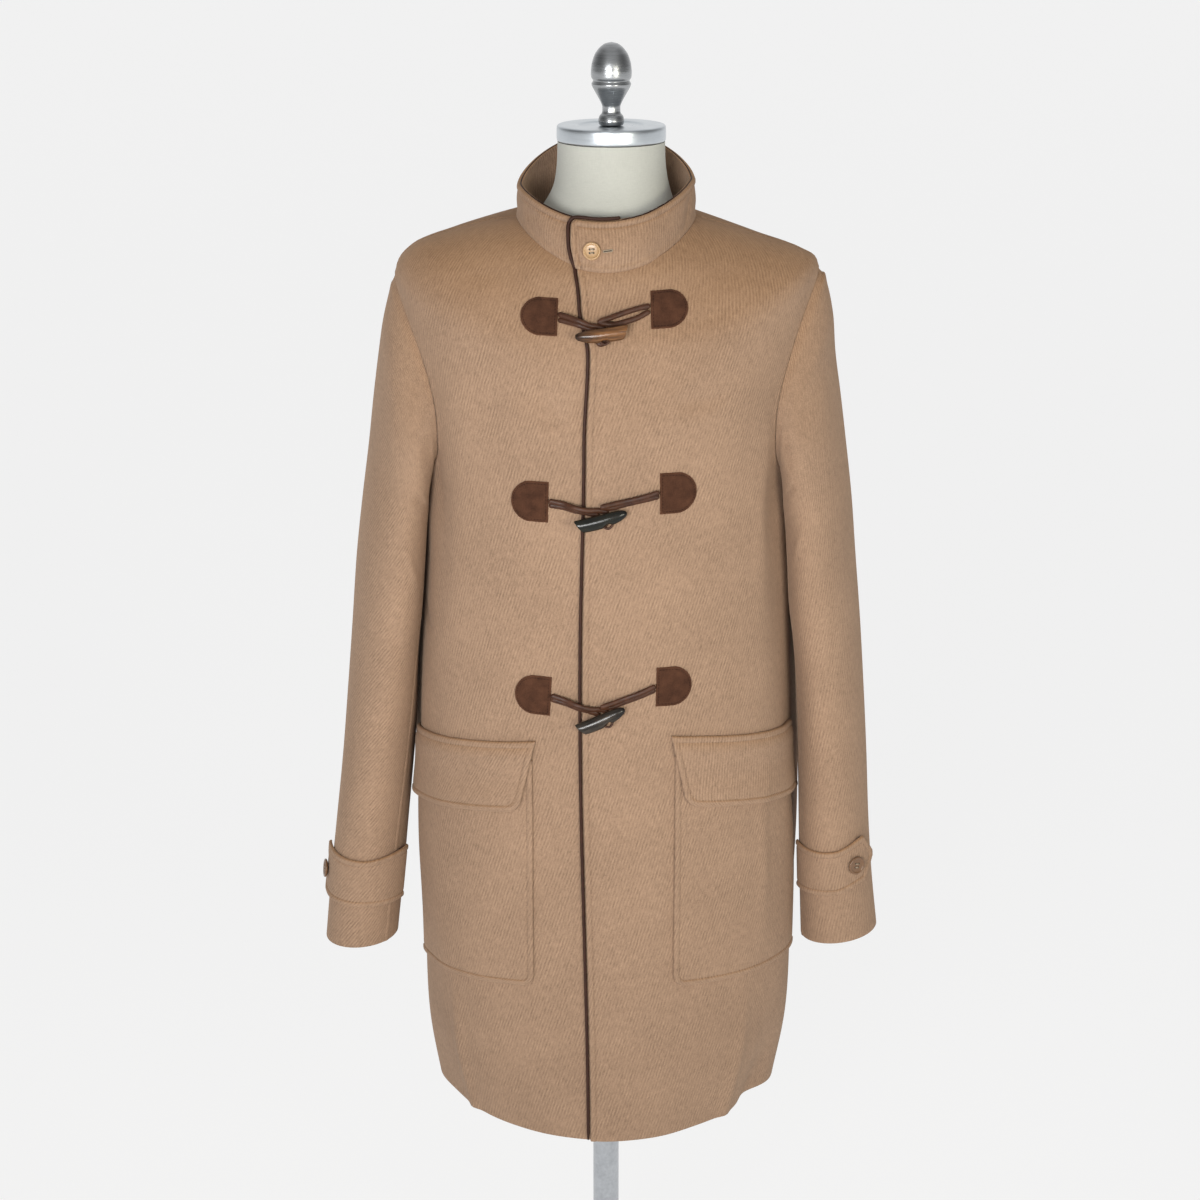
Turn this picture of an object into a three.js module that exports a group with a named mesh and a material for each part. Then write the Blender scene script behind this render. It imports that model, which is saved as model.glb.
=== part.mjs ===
// A buttoned duffle coat standing on a limbless tailor's form.
// Millimetres, +Z up, the coat's front faces -Y, and +X is the wearer's left.
// The origin is under the pole, on the underside of the base.

import * as THREE from "three";

// Cloth and trim
const CLOTH = 2.6; // wall of the wool cloth
const FACING = 2.2; // wall of the collar's inner band
const SEAM = 0.3; // gap where two pieces meet
const SUEDE = 1.6; // wall of the toggle patches

// The overlap of the two fronts
const EDGE_X = -23; // the upper front ends here
const UNDER_X = 38; // the lower front ends here
const LAP_LIFT = CLOTH + 2 * SEAM; // the upper front stands this far out
const LAP_FLAT = 46; // and starts to come back in here
const LAP_FADE = 60; // over this width
const COLLAR_EDGE_X = -34; // the same ends of the collar
const COLLAR_UNDER_X = 26;
const COLLAR_LIFT = CLOTH + FACING + 3 * SEAM; // the collar's upper end over the lower one
const PIPING = 1.6; // radius of the leather piping along the upper edge
const PIPING_GAP = 0.9; // between the edge and its piping

// Levels of the body's rings, by their row in BODY
const UNDERARM = 8;
const SHOULDER_TIP = 11;
const NECK = 15;

// The body's rings. side: height at the side seam or the shoulder line; front and back: how
// much higher the ring is there; lean: and on the wearer's left; half: half width; fore and
// aft: depth to the front and the back; square: 2 is an ellipse, more is squarer.
const BODY = [
  { side: 417, front: -11, back: 4, lean: 0, half: 193, fore: 156, aft: 150, square: 1.85 },
  { side: 500, front: 0, back: 0, lean: 0, half: 205.5, fore: 156, aft: 152, square: 2.1 },
  { side: 600, front: 0, back: 0, lean: 0, half: 209, fore: 155, aft: 152, square: 2.25 },
  { side: 700, front: 0, back: 0, lean: 0, half: 210.5, fore: 154, aft: 150, square: 2.3 },
  { side: 800, front: 0, back: 0, lean: 0, half: 207, fore: 153, aft: 146, square: 2.3 },
  { side: 900, front: 0, back: 0, lean: 0, half: 204, fore: 152, aft: 141, square: 2.25 },
  { side: 1000, front: 0, back: 0, lean: 0, half: 201, fore: 152, aft: 137, square: 2.2 },
  { side: 1070, front: 0, back: 0, lean: 0, half: 197, fore: 152, aft: 136, square: 2.2 },
  { side: 1135, front: 0, back: 0, lean: 0, half: 195, fore: 151, aft: 136, square: 2.2 },
  { side: 1215, front: -22, back: -8, lean: 0, half: 203, fore: 149, aft: 136, square: 2.2 },
  { side: 1290, front: -48, back: -18, lean: 1, half: 213, fore: 143, aft: 133, square: 2.2 },
  { side: 1354, front: -66, back: -18, lean: 3, half: 221, fore: 136, aft: 124, square: 2.15 },
  { side: 1379, front: -66, back: -8, lean: -2, half: 203, fore: 129, aft: 114, square: 2.1 },
  { side: 1392, front: -55, back: 2, lean: -3, half: 167, fore: 121, aft: 104, square: 2.05 },
  { side: 1403, front: -45, back: 8, lean: -2, half: 130, fore: 114, aft: 95, square: 2 },
  { side: 1411, front: -40, back: 12, lean: 0, half: 93.5, fore: 107, aft: 87, square: 2 },
];

// The collar's base lies on the body's last ring, and these are its rim's measures.
const RIM = { side: 1448, front: -28, back: 40, lean: 3, half: 92, fore: 94, aft: 92, square: 2 };
const COLLAR_BOW = 2.5; // the band swells this far between its base and its rim

// Soft folds of the cloth. at: degrees round from the front; level: where it is deepest;
// wide: degrees; tall: levels; out: millimetres, less than 0 for a trough.
const FOLDS = [
  { at: 63, level: 0, wide: 9, tall: 0.8, out: -13 },
  { at: -88, level: 2.6, wide: 26, tall: 1.3, out: -6 },
  { at: 76, level: 1.1, wide: 10, tall: 2.2, out: 3 },
  { at: 76, level: 4.2, wide: 8, tall: 1.5, out: -4 },
  { at: -66, level: 0.2, wide: 12, tall: 2.2, out: -4 },
  { at: -80, level: 3.2, wide: 9, tall: 1.6, out: 3 },
  { at: -78, level: 6.4, wide: 8, tall: 0.9, out: -4 },
  { at: 66, level: 7.6, wide: 9, tall: 2.4, out: -5 },
  { at: -64, level: 8.4, wide: 9, tall: 1.6, out: -4 },
  { at: -12, level: 7.4, wide: 6, tall: 1.0, out: -2.5 },
  { at: 30, level: 9.6, wide: 14, tall: 1.4, out: 3 },
  { at: 140, level: 1, wide: 12, tall: 4, out: 6 },
  { at: 165, level: 1.5, wide: 10, tall: 4, out: -4 },
  { at: 205, level: 1, wide: 13, tall: 4, out: 6 },
  { at: 232, level: 3, wide: 9, tall: 3, out: -5 },
  { at: 178, level: 8.5, wide: 20, tall: 2.5, out: -4 },
];

// Half the armhole's width, in degrees round the ring
const ARMHOLE = { front: 30, back: 31, low: 0.22 };
const ARM_COLUMNS = 20; // columns round a sleeve; half of them are rows of an armhole

// Rows down a sleeve. ox, oz: its outer line; ix, iz: its inner line; y: its middle;
// deep: half depth; turn: degrees that the section turns its front towards the body.
const RIGHT_SLEEVE = [
  { ox: 221, oz: 1352, ix: 195, iz: 1135, y: 0, deep: 78, turn: 0 },
  { ox: 228, oz: 1334, ix: 198, iz: 1131, y: -1, deep: 80, turn: 3 },
  { ox: 236, oz: 1301, ix: 198, iz: 1123, y: -3, deep: 81, turn: 7 },
  { ox: 241, oz: 1264, ix: 198, iz: 1112, y: -6, deep: 81, turn: 11 },
  { ox: 246, oz: 1221, ix: 197.5, iz: 1096, y: -9, deep: 80, turn: 14 },
  { ox: 252.5, oz: 1167, ix: 198, iz: 1074, y: -11, deep: 77, turn: 15 },
  { ox: 261.5, oz: 1107, ix: 200, iz: 1040, y: -12, deep: 74, turn: 15 },
  { ox: 270.5, oz: 1042, ix: 203, iz: 998, y: -12, deep: 71, turn: 14 },
  { ox: 278, oz: 968, ix: 207, iz: 946, y: -12, deep: 68, turn: 12 },
  { ox: 286, oz: 890, ix: 212, iz: 878, y: -11, deep: 64, turn: 9 },
  { ox: 294, oz: 812, ix: 218, iz: 803, y: -11, deep: 59, turn: 4 },
  { ox: 303, oz: 736, ix: 225, iz: 730, y: -12, deep: 54, turn: -2 },
  { ox: 312, oz: 660, ix: 231.5, iz: 658, y: -13, deep: 50, turn: -7 },
  { ox: 319, oz: 594, ix: 238, iz: 597, y: -14, deep: 47, turn: -9 },
];
const LEFT_SLEEVE = [
  { ox: 221, oz: 1352, ix: 195, iz: 1135, y: 0, deep: 78, turn: 0 },
  { ox: 230.5, oz: 1338, ix: 198, iz: 1131, y: -1, deep: 80, turn: 3 },
  { ox: 239, oz: 1304, ix: 198, iz: 1123, y: -3, deep: 81, turn: 7 },
  { ox: 242.5, oz: 1264, ix: 198, iz: 1112, y: -6, deep: 81, turn: 11 },
  { ox: 248.5, oz: 1221, ix: 197.5, iz: 1096, y: -9, deep: 80, turn: 14 },
  { ox: 256, oz: 1167, ix: 198, iz: 1074, y: -11, deep: 77, turn: 15 },
  { ox: 264, oz: 1107, ix: 200, iz: 1040, y: -12, deep: 74, turn: 15 },
  { ox: 270.5, oz: 1042, ix: 203, iz: 998, y: -12, deep: 71, turn: 15 },
  { ox: 278, oz: 968, ix: 208.5, iz: 948, y: -12, deep: 68, turn: 15 },
  { ox: 284.5, oz: 890, ix: 213.5, iz: 880, y: -12, deep: 64, turn: 15 },
  { ox: 290, oz: 812, ix: 216.5, iz: 804, y: -13, deep: 60, turn: 16 },
  { ox: 294.5, oz: 738, ix: 218.5, iz: 730, y: -14, deep: 55, turn: 17 },
  { ox: 300.5, oz: 669, ix: 220.5, iz: 661, y: -15, deep: 51, turn: 18 },
  { ox: 308, oz: 607, ix: 223, iz: 596, y: -16, deep: 49, turn: 19 },
];
const SLEEVE_BLEND = 5; // rows over which the armhole's outline turns into an oval
const TOP_SEAM = 144; // degrees round a sleeve: its inner seam
const BACK_SEAM = -72; // and its back seam
// Creases of a sleeve. at: degrees round it; row: where; wide: degrees; tall: rows.
const CREASES = [
  { at: 100, row: 5.2, wide: 40, tall: 0.8, out: -3 },
  { at: 60, row: 8.4, wide: 45, tall: 0.9, out: -2.5 },
  { at: 120, row: 7.2, wide: 30, tall: 0.8, out: 2.5 },
  { at: 250, row: 7.6, wide: 50, tall: 0.9, out: -3 },
  { at: 215, row: 9.2, wide: 40, tall: 0.8, out: 2.5 },
];

// Toggle fastenings. rx, rz and lx, lz: the middle of the straight edge of the wearer's right
// and left patch; tx, tz: the toggle's middle; rLean, lLean, tLean: degrees that each is
// turned; thick: the toggle's square end, 1 for the wearer's left; high: the patches' height.
const PATCH = { straight: 17, round: 21 }; // widths of a patch's straight and round parts
const FASTENINGS = [
  { name: "top", rx: -49, rz: 1326.5, rLean: 3, lx: 44, lz: 1334, lLean: -4,
    tx: -5, tz: 1307.5, tLean: 6, thick: 1, high: 37 },
  { name: "middle", rx: -62, rz: 1145, rLean: -2, lx: 56, lz: 1153, lLean: 0,
    tx: -3, tz: 1129, tLean: 17, thick: -1, high: 42 },
  { name: "low", rx: -60, rz: 933, rLean: -3, lx: 54, lz: 943, lLean: 3,
    tx: -3, tz: 911, tLean: 26, thick: -1, high: 43 },
];
const STRAND = 2.2; // radius of the leather cords
const TOGGLE = { long: 52, radius: 6.2, tip: 2.4, bend: 0.0022 };

// Patch pockets and flaps. inX: the inner edge's distance from the middle at the top, which
// grows by slant to the bottom; outAt: degrees round the ring of the outer edge; topIn,
// topOut, lowIn, lowOut: heights at those edges.
const POCKETS = [
  { name: "right", sign: -1, inX: 79, slant: 0, outAt: 82,
    topIn: 855, topOut: 826, lowIn: 592, lowOut: 578 },
  { name: "left", sign: 1, inX: 73, slant: 0, outAt: 80,
    topIn: 860, topOut: 832, lowIn: 592, lowOut: 590 },
];
const FLAPS = [
  { name: "right", sign: -1, inX: 76, slant: 20, outAt: 83.5,
    topIn: 877, topOut: 850, lowIn: 801, lowOut: 770 },
  { name: "left", sign: 1, inX: 68, slant: 18, outAt: 81.5,
    topIn: 884, topOut: 856, lowIn: 806, lowOut: 778 },
];
const CORNER = 15; // radius of the lower corners
const PANEL_GAP = 0.7; // between a panel and a pocket, for the facets of both

// Cuff straps, by degrees round the sleeve and rows down it
const STRAPS = [
  { name: "right", from: 168, to: -22, top: 11.4, low: 12.17, button: 6 },
  { name: "left", from: 150, to: 12, top: 11.28, low: 12.0, button: 38 },
];
const STRAP_LIFT = 0.6;
const STRAP_FLARE = 5; // the pointed end stands off this much more
const STRAP_POINT = 16; // degrees taken by the pointed end
const BUTTON = { radius: 10.5, thick: 3.6 };
const COLLAR_BUTTON = { x: -13, share: 0.4 }; // share: of the collar's height

// The tailor's form and its stand
const FORM_LOW = 3; // the torso ends at this level
const FORM_SLACK = { low: 34, high: 12 }; // the coat hangs this far off it, low and high
const FORM_GAP = 0.4; // between the shoulders and the coat
const NECK_SHIFT = 5.5; // the neck stands this far to the wearer's left
const CAP = { radius: 57, low: 1489, high: 1506, dip: 1.6 };
const BASE = { radius: 190, edge: 10, high: 40 };
const POLE_RADIUS = 15;

const RAD = Math.PI / 180;
const vec = (x, y, z) => new THREE.Vector3(x, y, z);
const clamp = (t) => Math.min(1, Math.max(0, t));
const smooth = (t) => clamp(t) ** 2 * (3 - 2 * clamp(t));
const mix = (a, b, t) => a + (b - a) * t;
const steps = (a, b, n) => Array.from({ length: n + 1 }, (_, i) => mix(a, b, i / n));

// One column of a table at a row that need not be whole, on a Catmull-Rom curve.
function column(table, key, row) {
  const last = table.length - 1;
  const r = Math.min(last - 1e-6, Math.max(0, row));
  const i = Math.floor(r);
  const t = r - i;
  const p1 = table[i][key];
  const p2 = table[i + 1][key];
  const p0 = i > 0 ? table[i - 1][key] : 2 * p1 - p2;
  const p3 = i + 2 <= last ? table[i + 2][key] : 2 * p2 - p1;
  return (
    p1 +
    0.5 * t * (p2 - p0 + t * (2 * p0 - 5 * p1 + 4 * p2 - p3 + t * (3 * (p1 - p2) + p3 - p0)))
  );
}

// A sum of soft round bumps over an angle and a row.
function bumps(list, rowKey, angle, row) {
  return list.reduce((sum, f) => {
    const turn = ((angle - f.at + 540) % 360) - 180;
    return sum + f.out * Math.exp(-((turn / f.wide) ** 2) - ((row - f[rowKey]) / f.tall) ** 2);
  }, 0);
}

// A point of a ring: angle in degrees from the front, towards +X.
function onRing(ring, angle, out = 0) {
  const s = Math.sin(angle * RAD);
  const c = Math.cos(angle * RAD);
  const reach = (Math.abs(s) ** ring.square + Math.abs(c) ** ring.square) ** (-1 / ring.square);
  const deep = c > 0 ? ring.fore : ring.aft;
  const rise = c > 0 ? ring.front * c * c : ring.back * Math.abs(c) ** 1.4;
  const height = ring.side + rise + ring.lean * s;
  return vec((ring.half * reach + out) * s, -(deep * reach + out) * c, height);
}

function ringAt(level) {
  const keys = ["side", "front", "back", "lean", "half", "fore", "aft", "square"];
  return Object.fromEntries(keys.map((k) => [k, column(BODY, k, level)]));
}

const bodyBase = (angle, level) =>
  onRing(ringAt(level), angle, bumps(FOLDS, "level", angle, level) * smooth((NECK - level) / 3));

// The direction straight out of a surface at a point, from two short steps along it.
function outward(surface, u, v, du, dv) {
  const across = surface(u + du, v).sub(surface(u - du, v));
  const along = surface(u, v + dv).sub(surface(u, v - dv));
  return across.cross(along).normalize();
}

const bodyOut = (angle, level) =>
  outward(bodyBase, angle, Math.min(level, NECK - 0.02), 0.4, 0.02);

// A point of the coat's body moved out along its normal.
const body = (angle, level, out = 0) =>
  bodyBase(angle, level).addScaledVector(bodyOut(angle, level), out);

// The same distance out, but moved level, as where one front laps over the other.
function lapped(angle, level, out) {
  const n = bodyOut(angle, level).setZ(0);
  const flat = Math.max(0.6, n.length());
  return bodyBase(angle, level).addScaledVector(n.normalize(), out / flat);
}

// Degrees round a ring where its front is at a given x.
function angleAt(ring, x) {
  const share = Math.min(0.999, Math.abs(x) / ring.half);
  const ahead = (1 - share ** ring.square) ** (1 / ring.square);
  return (Math.sign(x) * Math.atan2(share, ahead)) / RAD;
}

// The level where the front is at a given height, at a given x.
function levelAt(x, z) {
  let low = 0;
  let high = NECK;
  for (let i = 0; i < 40; i++) {
    const mid = (low + high) / 2;
    const ring = ringAt(mid);
    if (onRing(ring, angleAt(ring, x)).z < z) low = mid;
    else high = mid;
  }
  return (low + high) / 2;
}

// How far the upper front stands out of the body, at an x.
const lapLift = (x) => LAP_LIFT * (1 - smooth((x - LAP_FLAT) / LAP_FADE));
const collarLift = (x) => COLLAR_LIFT * (1 - smooth((x - COLLAR_UNDER_X - 8) / 44));

// A point of the front at x and z, on whichever front shows there, moved out of it.
function front(x, z, out = 0) {
  const level = levelAt(x, z);
  const angle = angleAt(ringAt(level), x);
  const lift = x >= EDGE_X ? lapLift(x) : 0;
  const n = bodyOut(angle, level);
  return lapped(angle, level, lift).addScaledVector(n, out);
}

// A closed wall between two grids of points of the same size.
function wall(outer, inner) {
  const rows = outer.length;
  const cols = outer[0].length;
  const points = [...outer.flat(), ...inner.flat()];
  const at = (i, j) => i * cols + j;
  const within = (i, j) => rows * cols + at(i, j);
  const faces = [];
  const quad = (a, b, c, d) => faces.push(a, b, c, a, c, d);
  for (let i = 0; i + 1 < rows; i++) {
    for (let j = 0; j + 1 < cols; j++) {
      quad(at(i, j), at(i, j + 1), at(i + 1, j + 1), at(i + 1, j));
      quad(within(i, j), within(i + 1, j), within(i + 1, j + 1), within(i, j + 1));
    }
    quad(at(i, 0), at(i + 1, 0), within(i + 1, 0), within(i, 0));
    quad(at(i, cols - 1), within(i, cols - 1), within(i + 1, cols - 1), at(i + 1, cols - 1));
  }
  for (let j = 0; j + 1 < cols; j++) {
    quad(at(0, j), within(0, j), within(0, j + 1), at(0, j + 1));
    quad(at(rows - 1, j), at(rows - 1, j + 1), within(rows - 1, j + 1), within(rows - 1, j));
  }
  return solid(points, faces);
}

// The same for grids whose columns run the other way.
const turned = (outer, inner) =>
  wall(outer.map((row) => row.toReversed()), inner.map((row) => row.toReversed()));

// A closed body through rings of points, with a flat fan over each end.
function lofted(rings) {
  const cols = rings[0].length;
  const points = rings.flat();
  const faces = [];
  for (let i = 0; i + 1 < rings.length; i++) {
    for (let j = 0; j < cols; j++) {
      const k = (j + 1) % cols;
      const a = i * cols;
      faces.push(a + j, a + k, a + cols + k, a + j, a + cols + k, a + cols + j);
    }
  }
  for (const [ring, first] of [[rings[0], true], [rings.at(-1), false]]) {
    const middle = ring.reduce((sum, p) => sum.add(p), vec(0, 0, 0)).divideScalar(cols);
    const centre = points.push(middle) - 1;
    const start = first ? 0 : (rings.length - 1) * cols;
    for (let j = 0; j < cols; j++) {
      const k = (j + 1) % cols;
      if (first) faces.push(centre, start + k, start + j);
      else faces.push(centre, start + j, start + k);
    }
  }
  return solid(points, faces);
}

// A turned solid from a profile of radii and heights.
function lathe(profile, segments) {
  const outline = profile.map(([r, z]) => new THREE.Vector2(r, z));
  return new THREE.LatheGeometry(outline, segments).rotateX(90 * RAD);
}

function solid(points, faces) {
  const geometry = new THREE.BufferGeometry();
  geometry.setAttribute(
    "position",
    new THREE.Float32BufferAttribute(points.flatMap((p) => [p.x, p.y, p.z]), 3),
  );
  geometry.setIndex(faces);
  geometry.computeVertexNormals();
  return geometry;
}

// A wall whose outer face is a grid of [angle, level, lift] places on the body.
function bodyWall(places, thick, move = lapped) {
  const outer = places.map((row) => row.map(([a, l, lift]) => move(a, l, lift)));
  const inner = places.map((row, i) =>
    row.map(([a, l], j) => outer[i][j].clone().addScaledVector(bodyOut(a, l), -thick)),
  );
  return wall(outer, inner);
}

// The armhole's edge at an angle round the sleeve: 0 is the shoulder tip, 90 the front,
// 180 the underarm. Gives degrees from the side seam and the level.
function armhole(theta) {
  const t = Math.abs(((theta + 540) % 360) - 180) * RAD;
  const half = Math.sin(theta * RAD) >= 0 ? ARMHOLE.front : ARMHOLE.back;
  const share = (1 + Math.cos(t)) / 2;
  return {
    from: half * Math.sin(t) * (1 - ARMHOLE.low * Math.cos(t)),
    level: mix(UNDERARM, SHOULDER_TIP, share),
  };
}

// The rows of the body's panels: [level, degrees cut away at the side].
const ARM_ROWS = steps(180, 0, ARM_COLUMNS / 2);
const PANEL_ROWS = (side) => [
  ...steps(0, UNDERARM, 12).slice(0, -1).map((level) => [level, 0]),
  ...ARM_ROWS.map((theta) => {
    const edge = armhole(side * theta);
    return [edge.level, edge.from];
  }),
  ...steps(SHOULDER_TIP, NECK, 4).slice(1).map((level) => [level, 0]),
];

const SEAM_ANGLE = 0.08; // degrees on each side of a body seam
const SLEEVE_SEAM = 0.13; // and of a sleeve seam

// One front, between an x near the middle and the side seam on that side.
function frontPanel(sign, startX, lift, cols) {
  const places = PANEL_ROWS(1).map(([level, cut]) => {
    const ring = ringAt(level);
    const near = angleAt(ring, startX(level));
    const far = sign * (90 - cut - SEAM_ANGLE);
    const angles = sign > 0 ? steps(near, far, cols) : steps(far, near, cols);
    return angles.map((a) => [a, level, lift(onRing(ring, a).x)]);
  });
  return bodyWall(places, CLOTH);
}

function backPanel(cols) {
  const places = PANEL_ROWS(-1).map(([level, cut]) => {
    const angles = steps(90 + cut + SEAM_ANGLE, 270 - cut - SEAM_ANGLE, cols);
    return angles.map((a) => [a, level, 0]);
  });
  return bodyWall(places, CLOTH);
}

// The edge of the upper front swings a little as it comes down.
const EDGE_SWING = [
  { level: 0, x: 6 },
  { level: 5, x: -2 },
  { level: 9, x: 3 },
  { level: 11, x: 7 },
  { level: 13, x: -2 },
  { level: 15, x: -6 },
];
function edgeX(level) {
  const i = Math.max(0, EDGE_SWING.findLastIndex((e) => e.level <= level));
  const a = EDGE_SWING[Math.min(i, EDGE_SWING.length - 2)];
  const b = EDGE_SWING[Math.min(i, EDGE_SWING.length - 2) + 1];
  return EDGE_X + mix(a.x, b.x, smooth((level - a.level) / (b.level - a.level)));
}

// A sleeve as a surface over degrees round it and rows down it.
function sleeveSurface(table, sign) {
  const section = (theta, row) => {
    const get = (key) => column(table, key, row);
    const bump = bumps(CREASES, "row", theta, row);
    const mid = vec((get("ox") + get("ix")) / 2, get("y"), (get("oz") + get("iz")) / 2);
    const across = vec((get("ox") - get("ix")) / 2, 0, (get("oz") - get("iz")) / 2);
    const c = Math.cos(theta * RAD);
    const s = Math.sin(theta * RAD);
    const deep = get("deep") + bump;
    const reach = (1 + bump / across.length()) * c;
    const offset = across.multiplyScalar(reach).add(vec(0, -deep * s, 0));
    offset.applyAxisAngle(vec(0, 0, 1), -get("turn") * RAD);
    return mid.add(offset);
  };
  const holeEdge = (theta) => {
    const edge = armhole(theta);
    const back = Math.sin(theta * RAD) >= 0 ? -1 : 1;
    const angle = sign * (90 + back * edge.from);
    const p = body(angle, edge.level);
    const level = mix(UNDERARM, SHOULDER_TIP, 0.45);
    const inwards = body(sign * 90, level).sub(p);
    const n = bodyOut(angle, edge.level);
    inwards.addScaledVector(n, -inwards.dot(n)).normalize();
    p.addScaledVector(inwards, SEAM + 0.05);
    return p.setX(sign * p.x);
  };
  return (theta, row) => {
    const p = section(theta, row);
    const left = smooth(1 - row / SLEEVE_BLEND);
    if (left > 0) p.addScaledVector(holeEdge(theta).sub(section(theta, 0)), left);
    p.x *= sign;
    return p;
  };
}

// A grid of points on a surface, and the same grid moved in by the cloth's thickness.
function surfaceWall(surface, columns, rows, sign) {
  const grid = (depth) =>
    rows.map((row) =>
      columns.map((theta) => {
        const r = Math.min(Math.max(row, 0.03), 12.97);
        const n = outward(surface, theta, r, 1, 0.03).multiplyScalar(sign);
        return surface(theta, row).addScaledVector(n, -depth);
      }),
    );
  const outer = grid(0);
  const inner = grid(CLOTH);
  return sign > 0 ? wall(outer, inner) : wall(outer.toReversed(), inner.toReversed());
}

const SLEEVE_ROWS = [0, 0.6, 1.2, 1.9, 2.7, 3.6, 4.6, 5.6, 6.6, 7.6, 8.6, 9.7, 10.8, 11.9, 13];
const STEP = 360 / ARM_COLUMNS;

function sleevePiece(surface, sign, from, to) {
  const count = Math.round((to - from) / STEP);
  const columns = steps(from, to, count);
  columns[0] += SLEEVE_SEAM;
  columns[count] -= SLEEVE_SEAM;
  return surfaceWall(surface, columns, SLEEVE_ROWS, sign);
}

// How far a strap stands off the sleeve: more at its free end.
const strapFlare = (spec, theta) =>
  STRAP_FLARE * smooth((spec.to + 45 - theta) / 60) + smooth((theta - 110) / 50);

// A strap round a cuff, pointed at its free end.
function strapPiece(surface, sign, spec) {
  const cols = 15;
  const shares = [0, 0.34, 0.67, 1];
  const place = (theta, k) => {
    const near = clamp((theta - spec.to) / STRAP_POINT);
    const half = ((spec.low - spec.top) / 2) * mix(0.12, 1, near);
    return (spec.low + spec.top) / 2 + (2 * shares[k] - 1) * half;
  };
  const angles = [...steps(spec.from, spec.to + STRAP_POINT, cols - 1), spec.to];
  const grid = (depth) =>
    shares.map((_, k) =>
      angles.map((theta) => {
        const row = place(theta, k);
        const n = outward(surface, theta, row, 1, 0.03).multiplyScalar(sign);
        const lift = CLOTH + STRAP_LIFT + strapFlare(spec, theta) - depth;
        return surface(theta, row).addScaledVector(n, lift);
      }),
    );
  const outer = grid(0);
  const inner = grid(CLOTH);
  return sign > 0 ? wall(outer.toReversed(), inner.toReversed()) : wall(outer, inner);
}

// The collar as a surface over degrees round it and a share of its height.
function collar(angle, share, out = 0) {
  const base = onRing(BODY[NECK], angle);
  const rim = onRing(RIM, angle);
  const n = vec(Math.sin(angle * RAD), -Math.cos(angle * RAD), 0);
  const bow = COLLAR_BOW * 4 * share * (1 - share);
  return base.lerp(rim, share).addScaledVector(n, bow + out).add(vec(0, 0, SEAM + 0.1));
}

function collarBand(from, to, thick, inset) {
  const cols = 34;
  const grid = (depth) =>
    [0, 0.35, 0.7, 1].map((k) =>
      steps(from, to, cols).map((angle) => {
        const lift = angle < 90 ? collarLift(onRing(BODY[NECK], angle).x) : 0;
        return collar(angle, k, lift - inset - depth);
      }),
    );
  return wall(grid(0), grid(thick));
}

// A point of the collar's upper end: at an x near the front and a share of its height.
function collarEnd(x, share, out) {
  const ring = { ...BODY[NECK], half: mix(BODY[NECK].half, RIM.half, share) };
  return collar(angleAt(ring, x), share, COLLAR_LIFT + out);
}

// The piping's middle line: up the edge of the upper front.
function frontPiping() {
  const points = steps(0.02, NECK - 0.14, 28).map((level) => {
    const angle = angleAt(ringAt(level), edgeX(level) - PIPING - PIPING_GAP);
    return lapped(angle, level, LAP_LIFT - CLOTH + PIPING + SEAM);
  });
  return cord(points, PIPING, 40);
}

// And up the end of the collar, round its corner and along its rim.
function collarPiping() {
  const x = COLLAR_EDGE_X - PIPING - PIPING_GAP;
  const out = -CLOTH - FACING + PIPING + 0.6;
  const corner = 0.84;
  const up = [0.06, 0.3, 0.6, corner].map((share) => collarEnd(x, share, out));
  const rim = [2.5, 9, 18, 30, 42].map((dx, i) => {
    const p = collarEnd(x + dx, 1, out);
    return p.setZ(p.z + PIPING + PIPING_GAP + (i ? 1.1 : -0.3));
  });
  return cord([...up, ...rim], PIPING, 16);
}

// A round cord along points, closed at both ends.
function cord(points, radius, count, sides = 6) {
  const shape = new THREE.Shape();
  for (let i = 0; i < sides; i++) {
    const a = (i / sides) * 2 * Math.PI;
    if (i) shape.lineTo(radius * Math.cos(a), radius * Math.sin(a));
    else shape.moveTo(radius, 0);
  }
  shape.closePath();
  const path = new THREE.CatmullRomCurve3(points, false, "centripetal");
  return new THREE.ExtrudeGeometry(shape, { steps: count, extrudePath: path, bevelEnabled: false });
}

// A suede patch: straight at x and z, round away from the middle.
function patch(x, z, away, lean, high) {
  const grid = (out) =>
    steps(-1, 1, 6).map((t) => {
      const wide = PATCH.straight + PATCH.round * Math.sqrt(1 - t * t * 0.98);
      return steps(0, wide, 4).map((s) => {
        const px = away * s;
        const pz = (t * high) / 2;
        const c = Math.cos(lean * RAD);
        const d = Math.sin(lean * RAD);
        return front(x + px * c - pz * d, z + px * d + pz * c, out);
      });
    });
  const outer = grid(SEAM + SUEDE);
  const inner = grid(SEAM);
  return away > 0 ? wall(outer, inner) : turned(outer, inner);
}

// A point over the lower front, whether or not the upper one lies there too.
function ground(x, z, out) {
  const level = levelAt(x, z);
  const angle = angleAt(ringAt(level), x);
  return lapped(angle, level, 0).addScaledVector(bodyOut(angle, level), out);
}

// How far a cord's middle stands out as it climbs over the piping and onto the upper front.
const ON_LOWER = SEAM + STRAND;
const ON_UPPER = LAP_LIFT + SEAM + STRAND;
const OVER_PIPING = ON_UPPER + 2;
function cordLift(x) {
  const climbing = mix(ON_LOWER, OVER_PIPING, smooth((x - EDGE_X + 24) / 20));
  return mix(climbing, ON_UPPER + SEAM, smooth((x - EDGE_X) / 12));
}

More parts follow.
